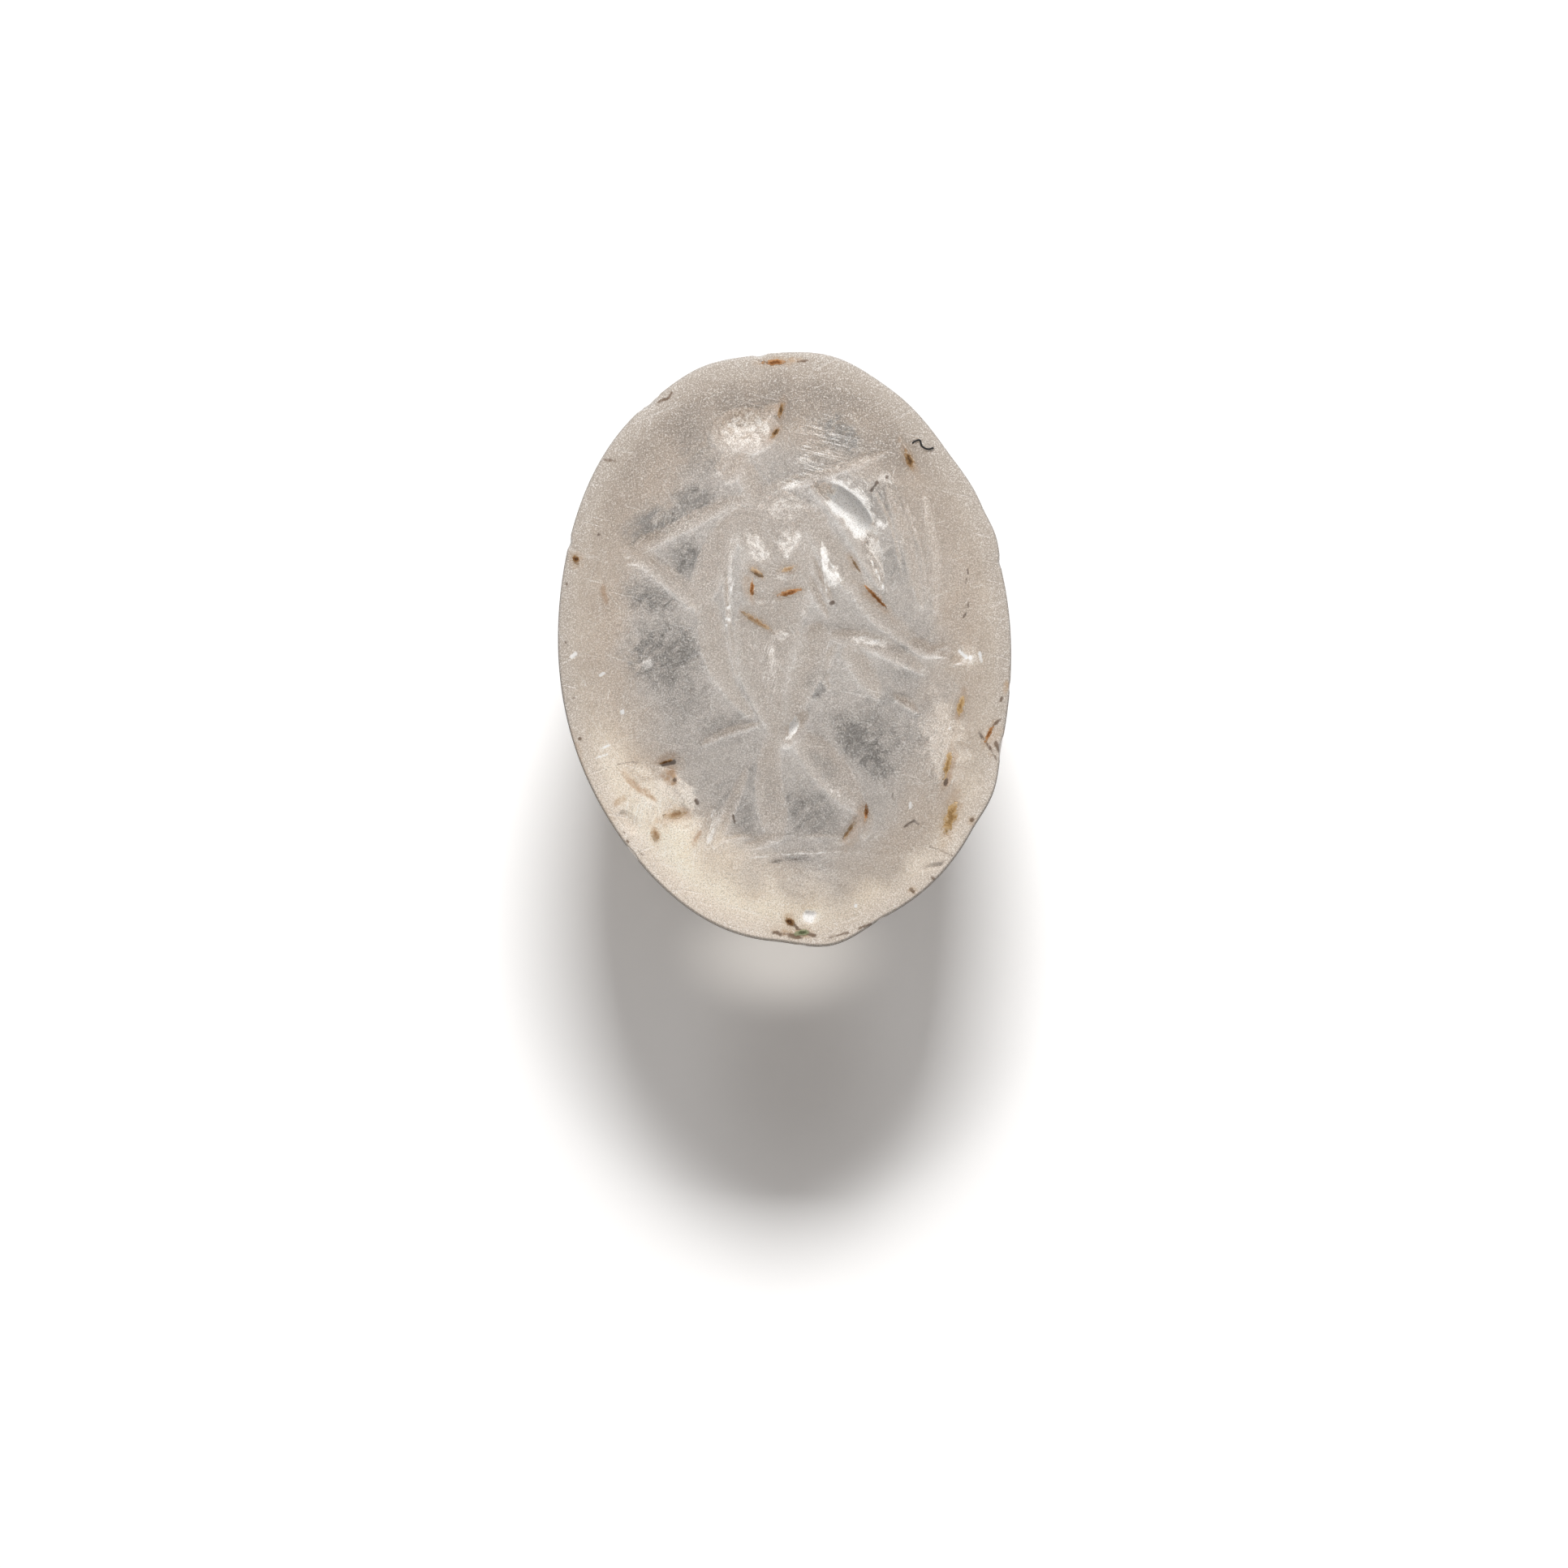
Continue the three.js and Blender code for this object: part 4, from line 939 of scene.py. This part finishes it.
def crust_finish(name, ragged, *tones):
    """Earth or copper salts, grainy and dull: darkest in the middle, and thin at the edge."""
    finish = Finish(bpy.data.materials.new(name))
    core, body, edge = (srgb(*tone) for tone in tones)
    clods = finish.grain(0.12, detail=5.0, rough=0.7)
    grit = finish.grain(0.035, detail=3.0, rough=0.7)
    reach = finish.layer("edge") + (clods - 0.5) * ragged
    color = finish.coated(core, (
        (reach.between(0.2, 0.6), body),
        (reach.between(0.5, 0.95), edge),
        (grit.between(0.5, 0.75) * 0.4, edge),
    ))
    return finish.ended(finish.shader({
        "Base Color": color,
        "Alpha": reach.between(1.05, 0.6),
        "Roughness": 0.8 + grit * 0.2,
        "Specular IOR Level": 0.15,
        "Normal": finish.bump(clods * 0.7 + grit * 0.5, 0.03, 0.8),
    }))


def lumpy_ball(half, seed):
    """A ragged flat lump, its poles at the ends of its length, and how far out each place is."""
    angle = np.linspace(0, 2 * math.pi, CRUST_COLUMNS, endpoint=False)
    tilt = np.linspace(0, math.pi, CRUST_RINGS + 1)[1:-1]
    tilt, angle = (part.ravel() for part in np.meshgrid(tilt, angle, indexing="ij"))
    around = (np.cos(tilt), np.sin(tilt) * np.cos(angle), np.sin(tilt) * np.sin(angle))
    around = np.vstack(((1.0, 0, 0), np.column_stack(around), (-1.0, 0, 0)))
    places = around * half + np.random.default_rng(seed).uniform(0, 50, 3)
    swell = (1 - CRUST_ROUGHNESS * (0.5 + 0.5 * cloud(places, 0.16, seed))
             - 0.1 * cloud(places, 0.05, seed + 1))
    points = around * half * np.clip(swell, 0.35, 1.0)[:, None]
    points[:, 2] *= np.where(points[:, 2] > 0, CRUST_TOP, 1.0)
    faces = []
    end = len(points) - 1
    for near, after in round_pairs(CRUST_COLUMNS):
        for low in range(1, end - CRUST_COLUMNS, CRUST_COLUMNS):
            high = low + CRUST_COLUMNS
            faces.append((low + near, high + near, high + after, low + after))
        faces.append((0, 1 + near, 1 + after))
        faces.append((end, end - CRUST_COLUMNS + after, end - CRUST_COLUMNS + near))
    return points, faces, np.hypot(around[:, 0], around[:, 1])


def under(surface, x, y):
    """The place on the stone straight below x and y, and the surface's normal there."""
    hit, normal, _, _ = surface.ray_cast((x, y, ABOVE_STONE), (0.0, 0.0, -1.0))
    return hit, normal


def laid_on(surface, middle, axes, local):
    """Places in a crust's own axes, laid on the stone so that the crust follows its surface."""
    flat = local * (1, 1, 0) @ axes + middle
    found = []
    for place, lift in zip(flat, local[:, 2]):
        hit, normal = under(surface, place[0], place[1])
        found.append(np.array(hit) + np.array(normal) * lift if hit else place + axes[2] * lift)
    return np.array(found)


def make_crusts(seats, surface):
    slots = {row["node"]: row["material_slot"] for row in frame["record"]["subparts"]}
    finishes = {kind: crust_finish(*earth) for kind, earth in EARTHS.items()}
    for number, (name, (middle, axes, half)) in enumerate(seats.items()):
        spread = (*SPREAD.get(name, PLAIN_SPREAD), 1.0)
        local, faces, edge = lumpy_ball(half * spread, FIRST_CRUST_SEED + number)
        piece = make_mesh(name + "_crust", laid_on(surface, middle, axes, local), faces)
        store(piece, "edge", edge)
        slot = slots[name]
        piece.data.materials.append(finishes[OWN_FINISH.get(name, slot)])
        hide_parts(name)
        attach(piece, "root")


def make_fibre(surface):
    """A round dark thread that lies on the stone."""
    middle = np.array([(x, y, under(surface, x, y)[0][2] + FIBRE_HALF_WIDTH)
                       for x, y in smooth_path(FIBRE, FIBRE_STEPS)])
    along = np.gradient(middle, axis=0)
    along /= np.linalg.norm(along, axis=1)[:, None]
    side = np.cross(along, (0.0, 0.0, 1.0))
    side /= np.linalg.norm(side, axis=1)[:, None]
    above = np.cross(side, along)
    around = np.linspace(0, 2 * math.pi, FIBRE_SIDES, endpoint=False)
    points = np.vstack([middle[step] + FIBRE_HALF_WIDTH * (
        np.outer(np.cos(around), side[step]) + np.outer(np.sin(around), above[step]))
        for step in range(len(middle))])
    ends = list(range(len(points)))
    faces = [ends[:FIBRE_SIDES], ends[:-FIBRE_SIDES - 1:-1]]
    for low in range(0, len(points) - FIBRE_SIDES, FIBRE_SIDES):
        high = low + FIBRE_SIDES
        faces += [(low + near, high + near, high + after, low + after)
                  for near, after in round_pairs(FIBRE_SIDES)]
    piece = make_mesh("stray_fibre", points, faces)
    thread = Finish(bpy.data.materials.new("dark_thread"))
    piece.data.materials.append(thread.ended(thread.shader({
        "Base Color": srgb(22, 20, 19), "Roughness": 0.75 + thread.grain(0.05) * 0.2})))
    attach(piece, "root")


crust_seats = {name: crust_seat(node) for name, node in sorted(frame["nodes"].items())
               if name != "crystal_stone"}
crystal, crystal_surface = carve_stone(crust_seats)
crystal.data.materials.append(crystal_finish())
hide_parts("crystal_stone")
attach(crystal, "root")
make_crusts(crust_seats, crystal_surface)
make_fibre(crystal_surface)

# The white ground, which takes the stone's shadow, with painted light glowing in its emission
# for what the crystal lets through: a patch beyond the stone's foot, and a softer glow over the
# shadow but not under the stone.
GROUND_SIZE = 4.0
WHITE, BLACK = (1.0, 1.0, 1.0, 1.0), (0.0, 0.0, 0.0, 1.0)
PATCH_MIDDLE, PATCH_HALF = (-0.1, -8.35, 0.0), (3.5, 2.1, 1.0)
PATCH_LIGHT = (0.3, 0.285, 0.265, 1.0)
SHADOW_MIDDLE, SHADOW_HALF = (0.3, -11.6, 0.0), (4.5, 6.0, 1.0)
SHADOW_LIGHT = (0.075, 0.075, 0.075, 1.0)
FOOT_MIDDLE, FOOT_HALF = (0.0, 0.0, 0.0), (5.3, 7.0, 1.0)
ground = Finish(bpy.data.materials.new("white_ground"))
patch_light = ground.away_from(PATCH_MIDDLE, PATCH_HALF).between(1.0, 0.1)
soft_light = ground.away_from(SHADOW_MIDDLE, SHADOW_HALF).between(0.1, 0.8)
soft_light *= ground.away_from(FOOT_MIDDLE, FOOT_HALF).between(0.9, 1.2)
bpy.ops.mesh.primitive_plane_add(size=GROUND_SIZE)
floor = bpy.context.object
floor.name = "ground"
floor.data.materials.append(ground.ended(ground.shader({
    "Base Color": WHITE, "Roughness": 1.0, "Specular IOR Level": 0.0,
    "Emission Color": ground.mixed(
        patch_light, ground.mixed(soft_light, BLACK, SHADOW_LIGHT), PATCH_LIGHT),
    "Emission Strength": 1.0})))

# A soft key from beyond the figure's head, low over the ground.
KEY_TILT = math.radians(60.5)
KEY_DISTANCE = 1.2
KEY_ASIDE = 0.045
KEY_POWER = 21.5
key_data = bpy.data.lights.new("key", "AREA")
key_data.shape = "RECTANGLE"
key_data.size, key_data.size_y = 0.46, 0.2
key_data.energy = KEY_POWER
key = bpy.data.objects.new("key", key_data)
key.location = (KEY_ASIDE, KEY_DISTANCE * math.sin(KEY_TILT), KEY_DISTANCE * math.cos(KEY_TILT))
key.rotation_euler = (-KEY_TILT, 0.0, 0.0)
bpy.context.scene.collection.objects.link(key)

# Even warm light all round, which shows as white behind the stone.
AROUND_LIGHT = 0.31
AROUND_COLOR = (1.04, 0.985, 0.94, 1.0)
air = Finish(bpy.data.worlds.new("even_light"))
seen = strongest([air.node("ShaderNodeLightPath", {}, {}, ray) for ray in (
    "Is Camera Ray", "Is Glossy Ray", "Is Transmission Ray")])
bpy.context.scene.world = air.ended(air.node("ShaderNodeBackground", {}, {
    "Color": air.mixed(seen, AROUND_COLOR, WHITE),
    "Strength": seen * (1 - AROUND_LIGHT) + AROUND_LIGHT}), "ShaderNodeOutputWorld")

# The camera looks straight down, from far enough that the walls stay hidden.
LENS, SENSOR = 180.0, 36.0
VIEW_WIDTH, VIEW_HEIGHT = 0.0423, 0.005
VIEW_MIDDLE = (-0.00003, -0.0037)
camera_data = bpy.data.cameras.new("camera")
camera_data.lens, camera_data.sensor_width = LENS, SENSOR
camera_data.clip_start, camera_data.clip_end = 0.001, 10.0
camera = bpy.data.objects.new("camera", camera_data)
camera.location = (*VIEW_MIDDLE, VIEW_WIDTH * LENS / SENSOR + VIEW_HEIGHT)
bpy.context.scene.collection.objects.link(camera)
bpy.context.scene.camera = camera
bpy.context.scene.view_settings.view_transform = "Standard"
